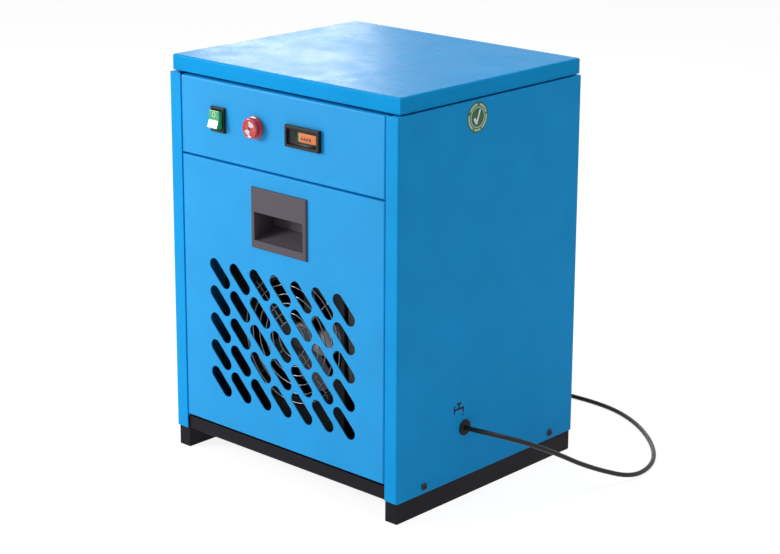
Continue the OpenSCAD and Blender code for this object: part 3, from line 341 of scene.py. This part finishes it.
def powder_coat(name, colour, rough=0.42, level=0.35):
    """Baked powder: an even colour with faint patches, and a pebble of a millimetre over a slower wave."""
    coat = Finish(name, colour, rough, Specular_IOR_Level=level)
    coat.patches(60, 0.035, 0.05).grain(6, 0.06, 0.35).grain(1.4, 0.09, 0.6)
    return coat.material


def moulded(name, colour, rough=0.5, grain_mm=0.8, depth_mm=0.05, level=0.4, **sockets):
    """Moulded plastic with an etched grain."""
    skin = Finish(name, colour, rough, Specular_IOR_Level=level, **sockets)
    skin.patches(25, 0.08, 0.05).grain(grain_mm, depth_mm, 0.5)
    return skin.material


def bare_metal(name, colour, rough=0.3, patch_mm=30, spread=0.10, along=(1, 1, 1), grain_mm=0.5,
               depth_mm=0.02):
    """Metal with drawn or rolled streaks along one direction and slightly uneven polish."""
    metal = Finish(name, colour, rough, Metallic=1.0)
    metal.patches(patch_mm, spread, 0.08, along).grain(grain_mm, depth_mm, 0.4, along)
    return metal.material


blue = (0.006, 0.32, 0.72)
black_coat = powder_coat("black_coat", (0.011, 0.010, 0.014), 0.45, 0.08)
blue_side_coat = powder_coat("blue_side_coat", blue, 0.50, 0.06)
blue_cover_coat = powder_coat("blue_cover_coat", blue, 0.28, 0.02)
blue_front_coat = powder_coat("blue_front_coat", blue, 0.44, 0.22)
rubber = moulded("rubber", (0.006, 0.006, 0.007), 0.62, 1.5, 0.04, 0.2)
black_plastic = moulded("black_plastic", (0.009, 0.009, 0.010), 0.42, 0.7, 0.03, 0.25)
screw_black = bare_metal("screw_black", (0.035, 0.034, 0.037), 0.35)
zinc = bare_metal("zinc", (0.56, 0.57, 0.58), 0.34, 12, 0.08)
rocker_skin = Finish("rocker_green", (0.02, 0.36, 0.10), 0.16, Coat_Weight=0.6, Coat_Roughness=0.05)
rocker_green = rocker_skin.patches(9, 0.25).grain(5, 0.01, 0.2).material
lens_body = Finish("lens_red", (0.72, 0.012, 0.03), 0.12, Transmission_Weight=0.35, IOR=1.49, Coat_Weight=0.5)
lens_red = lens_body.patches(6, 0.18).grain(4, 0.01, 0.2).material
scale_orange = moulded("scale_orange", (0.76, 0.20, 0.04), 0.45, 2.0, 0.01)
window = Finish("clear", (0.92, 0.94, 0.96), 0.04, Transmission_Weight=1.0, IOR=1.15)
clear = window.patches(20, 0.02).material
fin_metal = bare_metal("fin_metal", (0.60, 0.61, 0.62), 0.35, 20, 0.10, (1, 1, 4))
# Parts inside the cabinet are darker than their real finish. This is painted shade for the dark interior seen
# through the front slots, and it covers the galvanised sheet, the dark sheet, the guard wire and the fan
# blades.
galvanised_painted_shade = bare_metal("galvanised_painted_shade", (0.20, 0.21, 0.22), 0.42, 9, 0.22, (1, 1, 1), 3.0, 0.02)
copper = bare_metal("copper", (0.66, 0.27, 0.14), 0.26, 14, 0.20)
dark_sheet = powder_coat("dark_sheet", (0.018, 0.019, 0.022), 0.45, 0.2)
guard_wire_painted_shade = bare_metal("guard_wire_painted_shade", (0.30, 0.30, 0.32), 0.30, 15, 0.05)
motor_paint = powder_coat("motor_paint", (0.015, 0.015, 0.017), 0.42, 0.2)
fan_blade_painted_shade = bare_metal("fan_blade_painted_shade", (0.09, 0.09, 0.10), 0.50, 18, 0.10)
enamel = powder_coat("enamel", (0.013, 0.013, 0.015), 0.22, 0.5)
brass = bare_metal("brass", (0.66, 0.50, 0.22), 0.27, 10, 0.10)
foam = moulded("foam", (0.018, 0.017, 0.020), 0.66, 2.2, 0.25, 0.35)
lever_red = moulded("lever_red", (0.55, 0.02, 0.02), 0.30, 1.0, 0.02)
knob_white = moulded("knob_white", (0.72, 0.72, 0.70), 0.35, 1.0, 0.02)
hose_black = moulded("hose_black", (0.006, 0.006, 0.007), 0.34, 1.6, 0.02, 0.3)
slot_finish = {
    "base_black": black_coat, "blue_side": blue_side_coat, "blue_cover": blue_cover_coat,
    "blue_front": blue_front_coat, "black_rubber": rubber, "black_plastic": black_plastic,
    "black_screw": screw_black, "zinc_steel": zinc, "green_rocker": rocker_green,
    "galvanised_sheet": galvanised_painted_shade, "copper": copper, "dark_sheet": dark_sheet, "bright_wire": guard_wire_painted_shade,
    "motor_black": motor_paint, "compressor_black": enamel, "brass": brass, "red_lever": lever_red,
    "white_knob": knob_white, "black_hose": hose_black}


# ---- Free drain hose ----

hose_exit = (197.5, -47, 91.5)
hose_bends = [
    (199, -47, 91.5), (212, -45, 91.4), (228, -40, 90.3), (243, -31, 87.2), (257, -18, 82),
    (268, -3, 75), (277, 14, 66), (285, 35, 54), (292, 57, 41), (299, 80, 29),
    (306, 103, 18.5), (313, 124, 10.5), (317, 146, 5.8), (315, 170, 4.2), (307, 195, 3.9),
    (293, 219, 3.9), (273, 243, 3.9), (246, 268, 3.9), (214, 291, 3.9), (180, 308, 3.9),
    (149, 317, 3.9), (116, 320, 3.9), (86, 319, 3.9), (66, 318.4, 3.9)]
hose_r = 3.0
loop_count, loop_pitch, loop_inner, layer_rise = 4.5, 6.6, 25.6, 6.5
coil_centre = (54, 318.4 - loop_inner - loop_pitch * loop_count / 2, 3.9)


def smooth_line(points, pieces):
    """A smooth line through the points: a cubic between each two, led by the points before and after."""
    p = np.array(points, float)
    p = np.concatenate([p[:1], p, p[-1:]])
    a, b, c, d = p[:-3, None], p[1:-2, None], p[2:-1, None], p[3:, None]
    t = (np.arange(pieces) / pieces)[None, :, None]
    square, cube = 2 * a - 5 * b + 4 * c - d, 3 * b - a - 3 * c + d
    line = 0.5 * (2 * b + (c - a) * t + square * t ** 2 + cube * t ** 3)
    return np.concatenate([line.reshape(-1, 3), p[-1:]])


def coil_line(turns):
    """Stored hose after so many turns: the radius shrinks to the middle turn, then grows one layer higher."""
    m = turns - loop_count / 2
    r = loop_inner + loop_pitch * abs(m)
    a = np.radians(90) + 2 * np.pi * turns
    c = np.clip(2 * m + 0.5, 0, 1)
    rise = layer_rise * c * c * (3 - 2 * c)
    x, y = coil_centre[0] + r * np.cos(a), coil_centre[1] + r * np.sin(a)
    return np.stack([x, y, coil_centre[2] + rise], axis=1)


def make_hose():
    """The round hose along its route and its coil, and the strap that holds the coil."""
    route = smooth_line(hose_bends, 3)
    coil = coil_line(np.arange(int(loop_count * 24) + 1) / 24)
    last = coil[-1] - coil_line(np.array([loop_count - 0.02]))[0]
    end = coil[-1] + last / np.linalg.norm(last) * 2 * hose_r
    path = mm(*np.concatenate([[hose_exit], route, [coil[0] + (2 * hose_r, 0, 0)], coil, [end]]))
    hose = put("drain_hose_tube", [tube(path, hose_r / 1000, 16)], "cabinet", hose_black,
               ("drain_hose", "drain_hose_coil"), 50)
    strap = finished("hose_tie", rubber, 0.2)


make_hose()


# ---- Parts that keep their own shape: how wide their hard edges are rounded, in millimetres ----

edge_of = {
    "left_runner": 0.5, "right_runner": 0.5, "base_pan": 0.35, "left_side_panel": 0.35,
    "right_side_panel": 0.35, "rear_panel": 0.35, "top_cover": 0.4, "cover_seal": 0.3,
    "front_posts": 0.3, "control_panel": 0.35, "front_panel": 0.35, "panel_catches": 0.4,
    "rear_screws": 0.5, "base_bolts": 0.3, "switch_housing": 0.5, "switch_rocker": 0.7,
    "lamp_housing": 0.3, "indicator_case": 0.5, "condenser_plates": 0.2, "condenser_tubes": 0.0,
    "fan_shroud": 0.3, "fan_guard": 0.0, "motor_bracket": 0.25, "fan_motor": 1.2,
    "compressor_shell": 0.4, "compressor_grommets": 0.8, "terminal_cover": 1.0, "discharge_line": 0.0,
    "bypass_valve": 0.4, "liquid_line": 0.0, "filter_dryer": 0.3, "capillary_tube": 0.0,
    "suction_line": 0.0, "exchanger_stand": 0.25, "air_inlet_port": 0.5, "air_outlet_port": 0.5,
    "port_nuts": 0.5, "air_pipes": 0.0, "drain_strainer": 0.5, "strainer_lever": 0.5,
    "drain_valve": 0.5, "drain_coil": 0.8, "drain_timer": 0.5, "on_time_knob": 0.4,
    "off_time_knob": 0.4, "test_button": 0.5, "drain_grommet": 0.3, "hose_lead": 0.0,
    "cable_gland": 0.5}
for node, edge_mm in edge_of.items():
    finished(node, slot_finish[node_slot[node]], edge_mm)


# ---- Controls ----

control_z = 451.7
front_y = -170.0
lamp_x = -40.5
x_axis, y_axis, z_axis = np.eye(3)


def arc(cx, cy, r, a0, a1, steps):
    """Points of a circle's arc from angle a0 to a1, in degrees, in a plane."""
    a = np.radians(np.linspace(a0, a1, steps))
    return np.stack([cx + r * np.cos(a), cy + r * np.sin(a)], axis=1)


def make_rocker_marks():
    """The generic ring and bar of a power switch, inlaid on the two slopes of the rocker."""
    white = moulded("mark_white", (0.80, 0.82, 0.80), 0.4, 1.0, 0.01)
    half, dip, middle_out, mark_up = 11.2, 2, 7.6, 6.0
    tilt = math.radians(-10)
    turn = np.array([[1, 0, 0], [0, math.cos(tilt), -math.sin(tilt)], [0, math.sin(tilt), math.cos(tilt)]])
    pivot = mm((-105, -171, control_z))[0]
    shapes = []
    for sign in (1, -1):
        along = np.array([0, -dip * sign, half]) / math.hypot(dip, half)
        outward = np.array([0, -half, -dip * sign]) / math.hypot(dip, half)
        spot = np.array([0, -middle_out - dip * mark_up / half, mark_up * sign]) / 1000
        line = arc(0, 0, 2.7e-3, 0, 360, 33) if sign > 0 else np.array([[0, -2.8e-3], [0, 2.8e-3]])
        p, f = ribbon(line, 0.75e-3, -0.2e-3, 0.12e-3, x_axis, along, outward)
        shapes.append(((p + spot) @ turn.T + pivot, f))
    put("rocker_marks", shapes, "rocker", white)


def make_lamp():
    """Lens of the pilot lamp: a turned profile with a flange, a waist and a rim, and two pale wing-shaped
    patches on its face that are a painted reflection.
    """
    inside = [(0, 7.6), (9.6, 7.6), (10.9, 7.2), (11.25, 6.0), (11.25, 0.2)]
    flange = [(14.0, 0.0), (14.25, 0.4), (14.25, 2.2), (14.0, 2.75), (13.4, 3.0), (12.5, 3.05)]
    waist = [(12.1, 3.4), (12.0, 4.0), (12.3, 4.4), (12.75, 4.7), (12.75, 8.9)]
    rim = [(12.5, 9.7), (11.9, 10.25), (11.2, 10.45), (10.4, 10.2), (9.9, 9.9), (5.0, 10.1), (0, 10.2)]
    profile = inside + flange + waist + rim
    centre = mm((lamp_x, front_y, control_z))[0]
    put("lamp_lens_turned", [turned(np.array(profile) / 1000, centre, (0, -1, 0), 72)], "cabinet",
        lens_red, ("lamp_lens",), 50)
    # Two pale sectors standing just proud of the lens face: a painted reflection on the lamp, not a part of
    # it.
    reflection_paint = Finish("lamp_reflection_paint", (0.62, 0.55, 0.57), 0.25, Coat_Weight=0.4)
    reflection_paint = reflection_paint.patches(3, 0.25).grain(1.5, 0.02, 0.3).material
    reflection_patches = []
    for middle in (60, 240):
        a = np.radians(np.linspace(middle - 38, middle + 38, 17))[None, :]
        r = np.array([2.4, 8.9, 8.9, 2.4])[:, None] / 1000
        y = np.array([10.35, 10.25, 9.7, 9.7])[:, None] / 1000 + 0 * a
        ring = np.stack([centre[0] + r * np.cos(a), centre[1] - y, centre[2] + r * np.sin(a)], axis=-1)
        reflection_patches.append(patchwork(ring, wrap_rows=True))
    put("lamp_reflector", reflection_patches, "cabinet", reflection_paint)
    dark = moulded("lamp_core", (0.10, 0.01, 0.02), 0.3)
    bulb = np.array([(0, 9.6), (1.9, 9.6), (2.0, 10.3), (1.2, 10.48), (0, 10.5)]) / 1000
    put("lamp_bulb", [turned(bulb, centre, (0, -1, 0), 24)], "cabinet", dark)


def front_plate(x0, x1, y0, y1, z0, z1, rounding, steps=6):
    """A rounded plate on the front; z0 and z1 are taken from the middle of the controls."""
    low = mm((x0, y0, control_z + z0))[0]
    high = mm((x1, y1, control_z + z1))[0]
    return [pillow_block(low, high, rounding, steps)]


def make_indicator():
    """Dew-point indicator: a black face, an orange plate with a green edge and four drops, under a window."""
    gloss = Finish("indicator_gloss", (0.004, 0.004, 0.005), 0.30, Specular_IOR_Level=0.15)
    gloss = gloss.patches(12, 0.3).material
    leaf = moulded("indicator_green", (0.05, 0.36, 0.12), 0.4, 1.0, 0.01)
    ink = moulded("indicator_ink", (0.03, 0.012, 0.008), 0.5, 1.0, 0.01)
    y0 = front_y - 1.8
    put("indicator_face", front_plate(18.5, 67.5, y0, y0 + 0.8, -9.3, 9.3, 0.3), "cabinet",
        gloss, ("indicator_scale",))
    put("indicator_plate", front_plate(36.8, 65.0, y0 - 0.35, y0 + 0.3, -4.9, 6.4, 0.3, 4), "cabinet",
        scale_orange)
    put("indicator_band", front_plate(35.0, 36.7, y0 - 0.34, y0 + 0.3, -4.9, 6.4, 0.3, 4), "cabinet",
        leaf)
    first_drop, drop_pitch, drop_low = 41.5, 4.6, 0.6
    drops = []
    for k in range(4):
        spot = mm((first_drop + drop_pitch * k, y0 - 0.3, control_z - drop_low))[0]
        a = np.linspace(0, 2 * np.pi, 20, endpoint=False)[None, :]
        size = np.array([0.0, 1.0, 1.0, 0.0])[:, None] * (1.35e-3 + 0.1e-3 * k)
        depth = np.array([0.22e-3, 0.2e-3, -0.2e-3, -0.2e-3])[:, None]
        x = spot[0] + size * np.cos(a) * (1.05 - 0.55 * np.clip(np.sin(a), 0, 1))
        z = spot[2] + size * (np.sin(a) * 1.1 + 0.9 * np.clip(np.sin(a), 0, 1) ** 3)
        drops.append(patchwork(np.stack([x, spot[1] - depth + 0 * a, z], axis=-1), wrap_cols=True))
    put("indicator_drops", drops, "cabinet", ink)
    put("indicator_glass", front_plate(18.3, 67.7, y0 - 1.0, y0 - 0.6, -9.4, 9.4, 0.15, 3), "cabinet",
        clear, ("indicator_window",))


make_rocker_marks()
make_lamp()
make_indicator()


# ---- Signs on the right side ----

def make_side_signs():
    """A round green disc with a broken ring and a tick, and a tap with a drop over the drain outlet."""
    green = moulded("disc_green", (0.004, 0.10, 0.03), 0.35, 1.2, 0.005)
    pale = moulded("disc_pale", (0.45, 0.60, 0.50), 0.4, 1.2, 0.005)
    white = moulded("disc_white", (0.85, 0.86, 0.90), 0.35, 1.2, 0.005)
    ink = moulded("sign_ink", (0.004, 0.004, 0.006), 0.45, 1.2, 0.005, 0.15)
    face = 0.195
    disc = mm((195, -31.5, 478.5))[0]
    disc_edge = np.array([(0, -0.1), (18.8, -0.1), (19.0, 0.0), (18.9, 0.12), (0, 0.14)]) / 1000
    put("disc_base", [turned(disc_edge, disc, (1, 0, 0), 64)], "cabinet", green)
    flat = {"u": y_axis, "v": z_axis, "n": x_axis}
    y, z = disc[1], disc[2]
    rings = [ribbon(arc(y, z, 12.2e-3, 0, 360, 65), 1.4e-3, face, face + 0.22e-3, **flat)]
    for a0, a1 in ((-62, 8), (16, 78), (92, 150), (164, 236), (246, 290)):
        rings.append(ribbon(arc(y, z, 15.6e-3, a0, a1, 25), 2.6e-3, face, face + 0.2e-3, **flat))
    put("disc_ring", rings, "cabinet", pale)
    short_arm = np.array([[y - 6.0e-3, z - 0.6e-3], [y - 1.6e-3, z - 7.6e-3]])
    long_arm = np.array([[y - 2.2e-3, z - 8.2e-3], [y + 4.6e-3, z + 9.0e-3]])
    tick = [ribbon(short_arm, 3.6e-3, face, face + 0.24e-3, **flat),
            ribbon(long_arm, 2.6e-3, face, face + 0.25e-3, **flat)]
    put("disc_tick", tick, "cabinet", white)
    lines = [((-66.2, 113.6), (-66.2, 123.6), 2.2), ((-66.2, 118.4), (-49.2, 118.4), 2.6),
             ((-50.0, 119.5), (-50.0, 112.8), 2.4), ((-57.6, 118.4), (-57.6, 124.2), 2.2),
             ((-61.6, 125.2), (-53.6, 125.2), 2.6)]
    bars = []
    for start, end, width in lines:
        bars.append(ribbon(np.array([start, end]) / 1000, width / 1000, face, face + 0.15e-3, **flat))
    drop = np.array([(0, 0.0), (1.3, 0.0), (1.3, 0.12), (0, 0.15)]) / 1000
    bars.append(turned(drop, mm((195, -50.0, 109.2))[0], (1, 0, 0), 20))
    put("tap_sign", bars, "cabinet", ink)


make_side_signs()


# ---- Screws with a cross recess ----

def screw(centre, axis, head_r, head_h, shank_r, shank_l):
    """Pan head on rings: its height falls by 0.75 (r / R)^5, less a cross-shaped recess that tapers out."""
    r = np.concatenate([np.linspace(0, 0.8, 13), [0.88, 0.94, 0.98, 1.0]])[:, None] * head_r
    a = np.linspace(0, 2 * np.pi, 64, endpoint=False)[None, :]
    across, along = r * np.cos(a), r * np.sin(a)
    bar = np.minimum(np.abs(across), np.abs(along))
    reach = np.maximum(np.abs(across), np.abs(along))
    slot_wide, slot_long = 0.17 * head_r, 0.62 * head_r
    recess = np.clip(1 - bar / slot_wide, 0, 1) ** 0.5 * np.clip(1 - reach / slot_long, 0, 1) ** 0.6
    height = head_h * (1 - 0.75 * (r / head_r) ** 5) - 0.7 * head_h * recess
    u, v, w = frame_of(axis)
    top = np.array(centre) + across[..., None] * u + along[..., None] * v + height[..., None] * w
    skirt = [(head_r, 0.25 * head_h), (head_r, 0.0), (shank_r, 0.0), (shank_r, -shank_l), (0, -shank_l)]
    return [patchwork(top, wrap_cols=True), turned(skirt, centre, axis, 64)]


def make_screws():
    """Black pan-head screws of the two side panels."""
    shapes = []
    for side in (1, -1):
        for y in (-121, 123):
            shapes += screw(mm((195 * side, y, 36))[0], (side, 0, 0), 4.7e-3, 2.9e-3, 2.0e-3, 9.5e-3)
    put("side_screws_cross", shapes, "cabinet", screw_black, ("side_screws",), 40)


make_screws()


# ---- Fan and condenser ----

fan_centre = mm((-30, -99, 170))[0]


def make_fan():
    """Pressed fan: a blade's chord follows a sine along its arm; it is pitched, arched and swept back."""
    t = np.linspace(0, 1, 15)[:, None]
    s = np.linspace(-1, 1, 11)[None, :]
    blade_root, blade_reach = 17, 57
    radius = blade_root + blade_reach * t
    chord = 9.5 + 11.5 * np.sin(np.pi * t ** 0.8 * 0.62)
    pitch = np.radians(27 - 9 * t)
    swept = np.radians(10 * t ** 1.5)
    across = chord * s * np.cos(pitch)
    axial = chord * s * np.sin(pitch) + 1.6 * (1 - s ** 2)
    top_round = blade_reach * 0.06 * (np.abs(s) ** 3) * t ** 6 * 8
    radius = radius - top_round
    shapes = []
    for k in range(5):
        a = swept + across / np.maximum(radius, 20) + 2 * np.pi * k / 5
        grid = np.stack([radius * np.cos(a), axial + 0 * a, radius * np.sin(a)], axis=-1) / 1000
        back = grid + np.array([0, 0.0011, 0])
        sheet = np.concatenate([grid, back[::-1]])
        p, f = patchwork(sheet, wrap_rows=True)
        shapes.append((p + fan_centre, f))
        for edge in (0, -1):
            strip = np.stack([grid[:, edge], back[:, edge]], axis=1)
            q, g = patchwork(strip)
            shapes.append((q + fan_centre, g))
    hub = [(0, -8.6), (3.0, -8.6), (3.0, -7.4), (14, -7.2), (18.2, -6.0), (20, -3.6), (20, 7.6), (18.5, 8.0),
           (3.0, 8.0), (3.0, 37), (0, 37)]
    shapes.append(turned(np.array(hub) / 1000, fan_centre, (0, 1, 0), 48))
    put("fan_pressed", shapes, "fan", fan_blade_painted_shade, ("fan_blades",), 40)


def make_fins():
    """Close condenser fins: thin sheets of the full height at an even pitch, each a shallow sine in depth."""
    low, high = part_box("condenser_fins")
    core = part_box("condenser_plates")
    x = np.arange(core[0].x + 0.012 + 0.0022, core[1].x - 0.0125, 0.0026)
    steps = 13
    y = np.linspace(low.y, high.y, steps)
    z = np.array([low.z, high.z])
    shapes = []
    wave = 0.0004 * np.sin(np.linspace(0, 6 * np.pi, steps))
    for place_x in x:
        near = np.stack(np.broadcast_arrays((place_x + wave)[:, None], y[:, None], z[None]), axis=-1)
        far = near[:, ::-1] + np.array([0.00025, 0, 0])
        shapes.append(patchwork(np.concatenate([near, far], axis=1), wrap_cols=True))
    put("condenser_fin_pack", shapes, "cabinet", fin_metal, ("condenser_fins",), 30)


make_fan()
make_fins()


# ---- Insulated heat exchanger ----

def make_foam():
    """Foam jacket: a round-cornered box whose walls swell a little between the bands that hold it."""
    low, high = (np.array(c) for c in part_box("exchanger_foam"))
    middle, half = (low + high) / 2, (high - low) / 2
    a = np.linspace(0, 2 * np.pi, 128, endpoint=False)[None, :]
    corner = 0.022
    c, s = np.cos(a), np.sin(a)
    reach = np.minimum(half[0] / np.maximum(np.abs(c), 1e-9), half[1] / np.maximum(np.abs(s), 1e-9))
    x, y = reach * c, reach * s
    inner_x, inner_y = half[0] - corner, half[1] - corner
    over_x, over_y = np.maximum(np.abs(x) - inner_x, 0), np.maximum(np.abs(y) - inner_y, 0)
    over = np.hypot(over_x, over_y)
    share = np.where(over > corner, corner / np.maximum(over, 1e-9), 1.0)
    x = np.sign(x) * (np.minimum(np.abs(x), inner_x) + over_x * share)
    y = np.sign(y) * (np.minimum(np.abs(y), inner_y) + over_y * share)
    t = np.linspace(0, 1, 73)[:, None]
    band_places, band_half, end_gap = (0.17, 0.5, 0.83), 0.03, 0.0003
    bands = np.zeros_like(t)
    for spot in band_places:
        bands += np.exp(-((t - spot) / 0.016) ** 2)
    ripple = 0.0009 * np.sin(9 * a + 14 * t) * np.sin(11 * t * np.pi) * 0.6
    swell = -0.0014 - 0.0016 * np.clip(bands, 0, 1) + ripple
    seam = -0.0022 * np.exp(-((a - 4.25) / 0.022) ** 2)
    edge = np.clip(np.minimum(t, 1 - t) / 0.045, 0, 1)
    round_in = -0.013 * (1 - np.sqrt(1 - (1 - edge) ** 2))
    grow = swell + seam + round_in
    length = np.hypot(x, y)
    level = low[2] + end_gap + (high[2] - low[2] - 2 * end_gap) * t + 0 * a
    grid = np.stack([middle[0] + x + x / length * grow, middle[1] + y + y / length * grow, level], axis=-1)
    ends = (low[2] + end_gap, high[2] - end_gap)
    cap = [np.repeat(np.array([[[middle[0], middle[1], z]]]), a.size, axis=1) for z in ends]
    jacket = patchwork(np.concatenate([cap[0], grid, cap[1]]), wrap_cols=True)
    put("exchanger_jacket", [jacket], "cabinet", foam, ("exchanger_foam",), 60)
    tape = moulded("tape", (0.022, 0.022, 0.026), 0.32, 3.0, 0.05)
    bands = []
    for spot in band_places:
        t = np.array([spot - band_half, spot - band_half, spot + band_half, spot + band_half])[:, None]
        lift = np.array([-0.003, -0.0008, -0.0008, -0.003])[:, None]
        level = low[2] + (high[2] - low[2]) * t + 0 * a
        around = [middle[0] + x + x / length * lift, middle[1] + y + y / length * lift, level]
        grid = np.stack(around, axis=-1)
        bands.append(patchwork(grid, wrap_rows=True, wrap_cols=True))
    put("jacket_bands", bands, "cabinet", tape, (), 50)


make_foam()


# ---- Drain timer and air ports ----

def make_timer_marks():
    """Dial ticks round the two timer knobs, every 30 degrees over 270."""
    white = moulded("tick_white", (0.75, 0.76, 0.74), 0.45, 1.0, 0.005)
    knob_z, tick_from, tick_to = 98.5, 7.4, 9.2
    ticks = []
    for x in (128, 152):
        for a in range(-135, 136, 30):
            turn = math.radians(90 - a)
            near = np.array([x + tick_from * math.cos(turn), knob_z + tick_from * math.sin(turn)])
            far = np.array([x + tick_to * math.cos(turn), knob_z + tick_to * math.sin(turn)])
            line = np.array([near, far]) / 1000
            ticks.append(ribbon(line, 0.5e-3, 0.150, 0.15012, x_axis, z_axis, -y_axis))
    put("timer_ticks", ticks, "cabinet", white)


def make_port_threads():
    """Thread of the two air ports: a groove's section of four points carried round a helix of even pitch."""
    steps, turns, pitch = 48, 7, 1.814
    thread_r, thread_y, port_z = 9.3, 168.2, 350
    shapes = []
    for x in (105, 155):
        a = np.linspace(0, 2 * np.pi * turns, steps * turns + 1)
        rows = []
        for across, lift in ((-0.55, 0.05), (-0.12, -0.34), (0.12, -0.34), (0.55, 0.05)):
            r = thread_r + lift
            y = thread_y + pitch * a / (2 * np.pi) + across
            rows.append(np.stack([x + r * np.cos(a), y, port_z + r * np.sin(a)], axis=1))
        shapes.append(patchwork(np.stack(rows, axis=1) / 1000, wrap_cols=True))
    put("port_threads", shapes, "cabinet", brass, (), 30)


make_timer_marks()
make_port_threads()


# ---- Floor, light and surroundings ----

def add_area(name, place_at, target, size, power):
    """A soft square lamp at a place, turned to a target."""
    data = bpy.data.lights.new(name, "AREA")
    data.shape = "SQUARE"
    data.size = size
    data.energy = power
    lamp = bpy.data.objects.new(name, data)
    turn = (Vector(target) - Vector(place_at)).to_track_quat("-Z", "Y").to_matrix().to_4x4()
    lamp.matrix_world = Matrix.Translation(place_at) @ turn
    bpy.context.scene.collection.objects.link(lamp)


def set_floor():
    """White ground: it lights the dryer as plain white does, and itself looks white with a faint shadow."""
    mesh = bpy.data.meshes.new("studio_floor")
    mesh.from_pydata([(-30, -30, 0), (30, -30, 0), (30, 30, 0), (-30, 30, 0)], [], [(0, 1, 2, 3)])
    floor = bpy.data.objects.new("studio_floor", mesh)
    bpy.context.scene.collection.objects.link(floor)
    ground = Finish("floor_white", (0.90, 0.90, 0.90), 0.9, Specular_IOR_Level=0.0).patches(900, 0.01)
    mesh.materials.append(ground.material)
    faint = ground.add("ShaderNodeBsdfDiffuse")
    faint.inputs["Color"].default_value = (0.25, 0.25, 0.25, 1)
    glow = ground.add("ShaderNodeEmission")
    glow.inputs["Strength"].default_value = 0.88
    both = ground.add("ShaderNodeAddShader")
    ground.link(faint.outputs["BSDF"], both.inputs[0])
    ground.link(glow.outputs["Emission"], both.inputs[1])
    choice = ground.add("ShaderNodeMixShader")
    ground.link(ground.add("ShaderNodeLightPath").outputs["Is Diffuse Ray"], choice.inputs["Fac"])
    ground.link(both.outputs["Shader"], choice.inputs[1])
    ground.link(ground.shader.outputs["BSDF"], choice.inputs[2])
    ground.link(choice.outputs["Shader"], ground.tree.nodes["Material Output"].inputs["Surface"])


def set_world():
    """White surroundings: full white to the eye and in reflections, a weak even light on matt surfaces."""
    world = bpy.data.worlds.new("studio")
    world.use_nodes = True
    bpy.context.scene.world = world
    tree = world.node_tree
    dim = tree.nodes["Background"]
    dim.inputs["Color"].default_value = (1, 1, 1, 1)
    dim.inputs["Strength"].default_value = 0.28
    bright = tree.nodes.new("ShaderNodeBackground")
    bright.inputs["Color"].default_value = (1, 1, 1, 1)
    bright.inputs["Strength"].default_value = 1.0
    path = tree.nodes.new("ShaderNodeLightPath")
    seen = path.outputs["Is Camera Ray"]
    for ray in ("Is Glossy Ray", "Is Transmission Ray"):
        either = tree.nodes.new("ShaderNodeMath")
        either.operation = "MAXIMUM"
        tree.links.new(seen, either.inputs[0])
        tree.links.new(path.outputs[ray], either.inputs[1])
        seen = either.outputs["Value"]
    choice = tree.nodes.new("ShaderNodeMixShader")
    tree.links.new(seen, choice.inputs["Fac"])
    tree.links.new(dim.outputs["Background"], choice.inputs[1])
    tree.links.new(bright.outputs["Background"], choice.inputs[2])
    tree.links.new(choice.outputs["Shader"], tree.nodes["World Output"].inputs["Surface"])


def set_studio():
    """Floor, surroundings, a lamp overhead, a key from the front left, a weak fill and the cover's glare."""
    set_floor()
    set_world()
    add_area("overhead", (0.3, 0.1, 2.7), (0, 0, 0.4), 1.6, 25)
    add_area("key", (-2.05, -2.0, 1.2), (0, 0, 0.3), 1.0, 72)
    add_area("fill", (3.0, -0.8, 1.3), (0.1, 0, 0.3), 1.4, 1.5)
    add_area("glare", (-1.95, 1.75, 1.19), (-0.1, 0.05, 0.52), 0.45, 6)
    bpy.context.scene.view_settings.view_transform = "Standard"


set_studio()
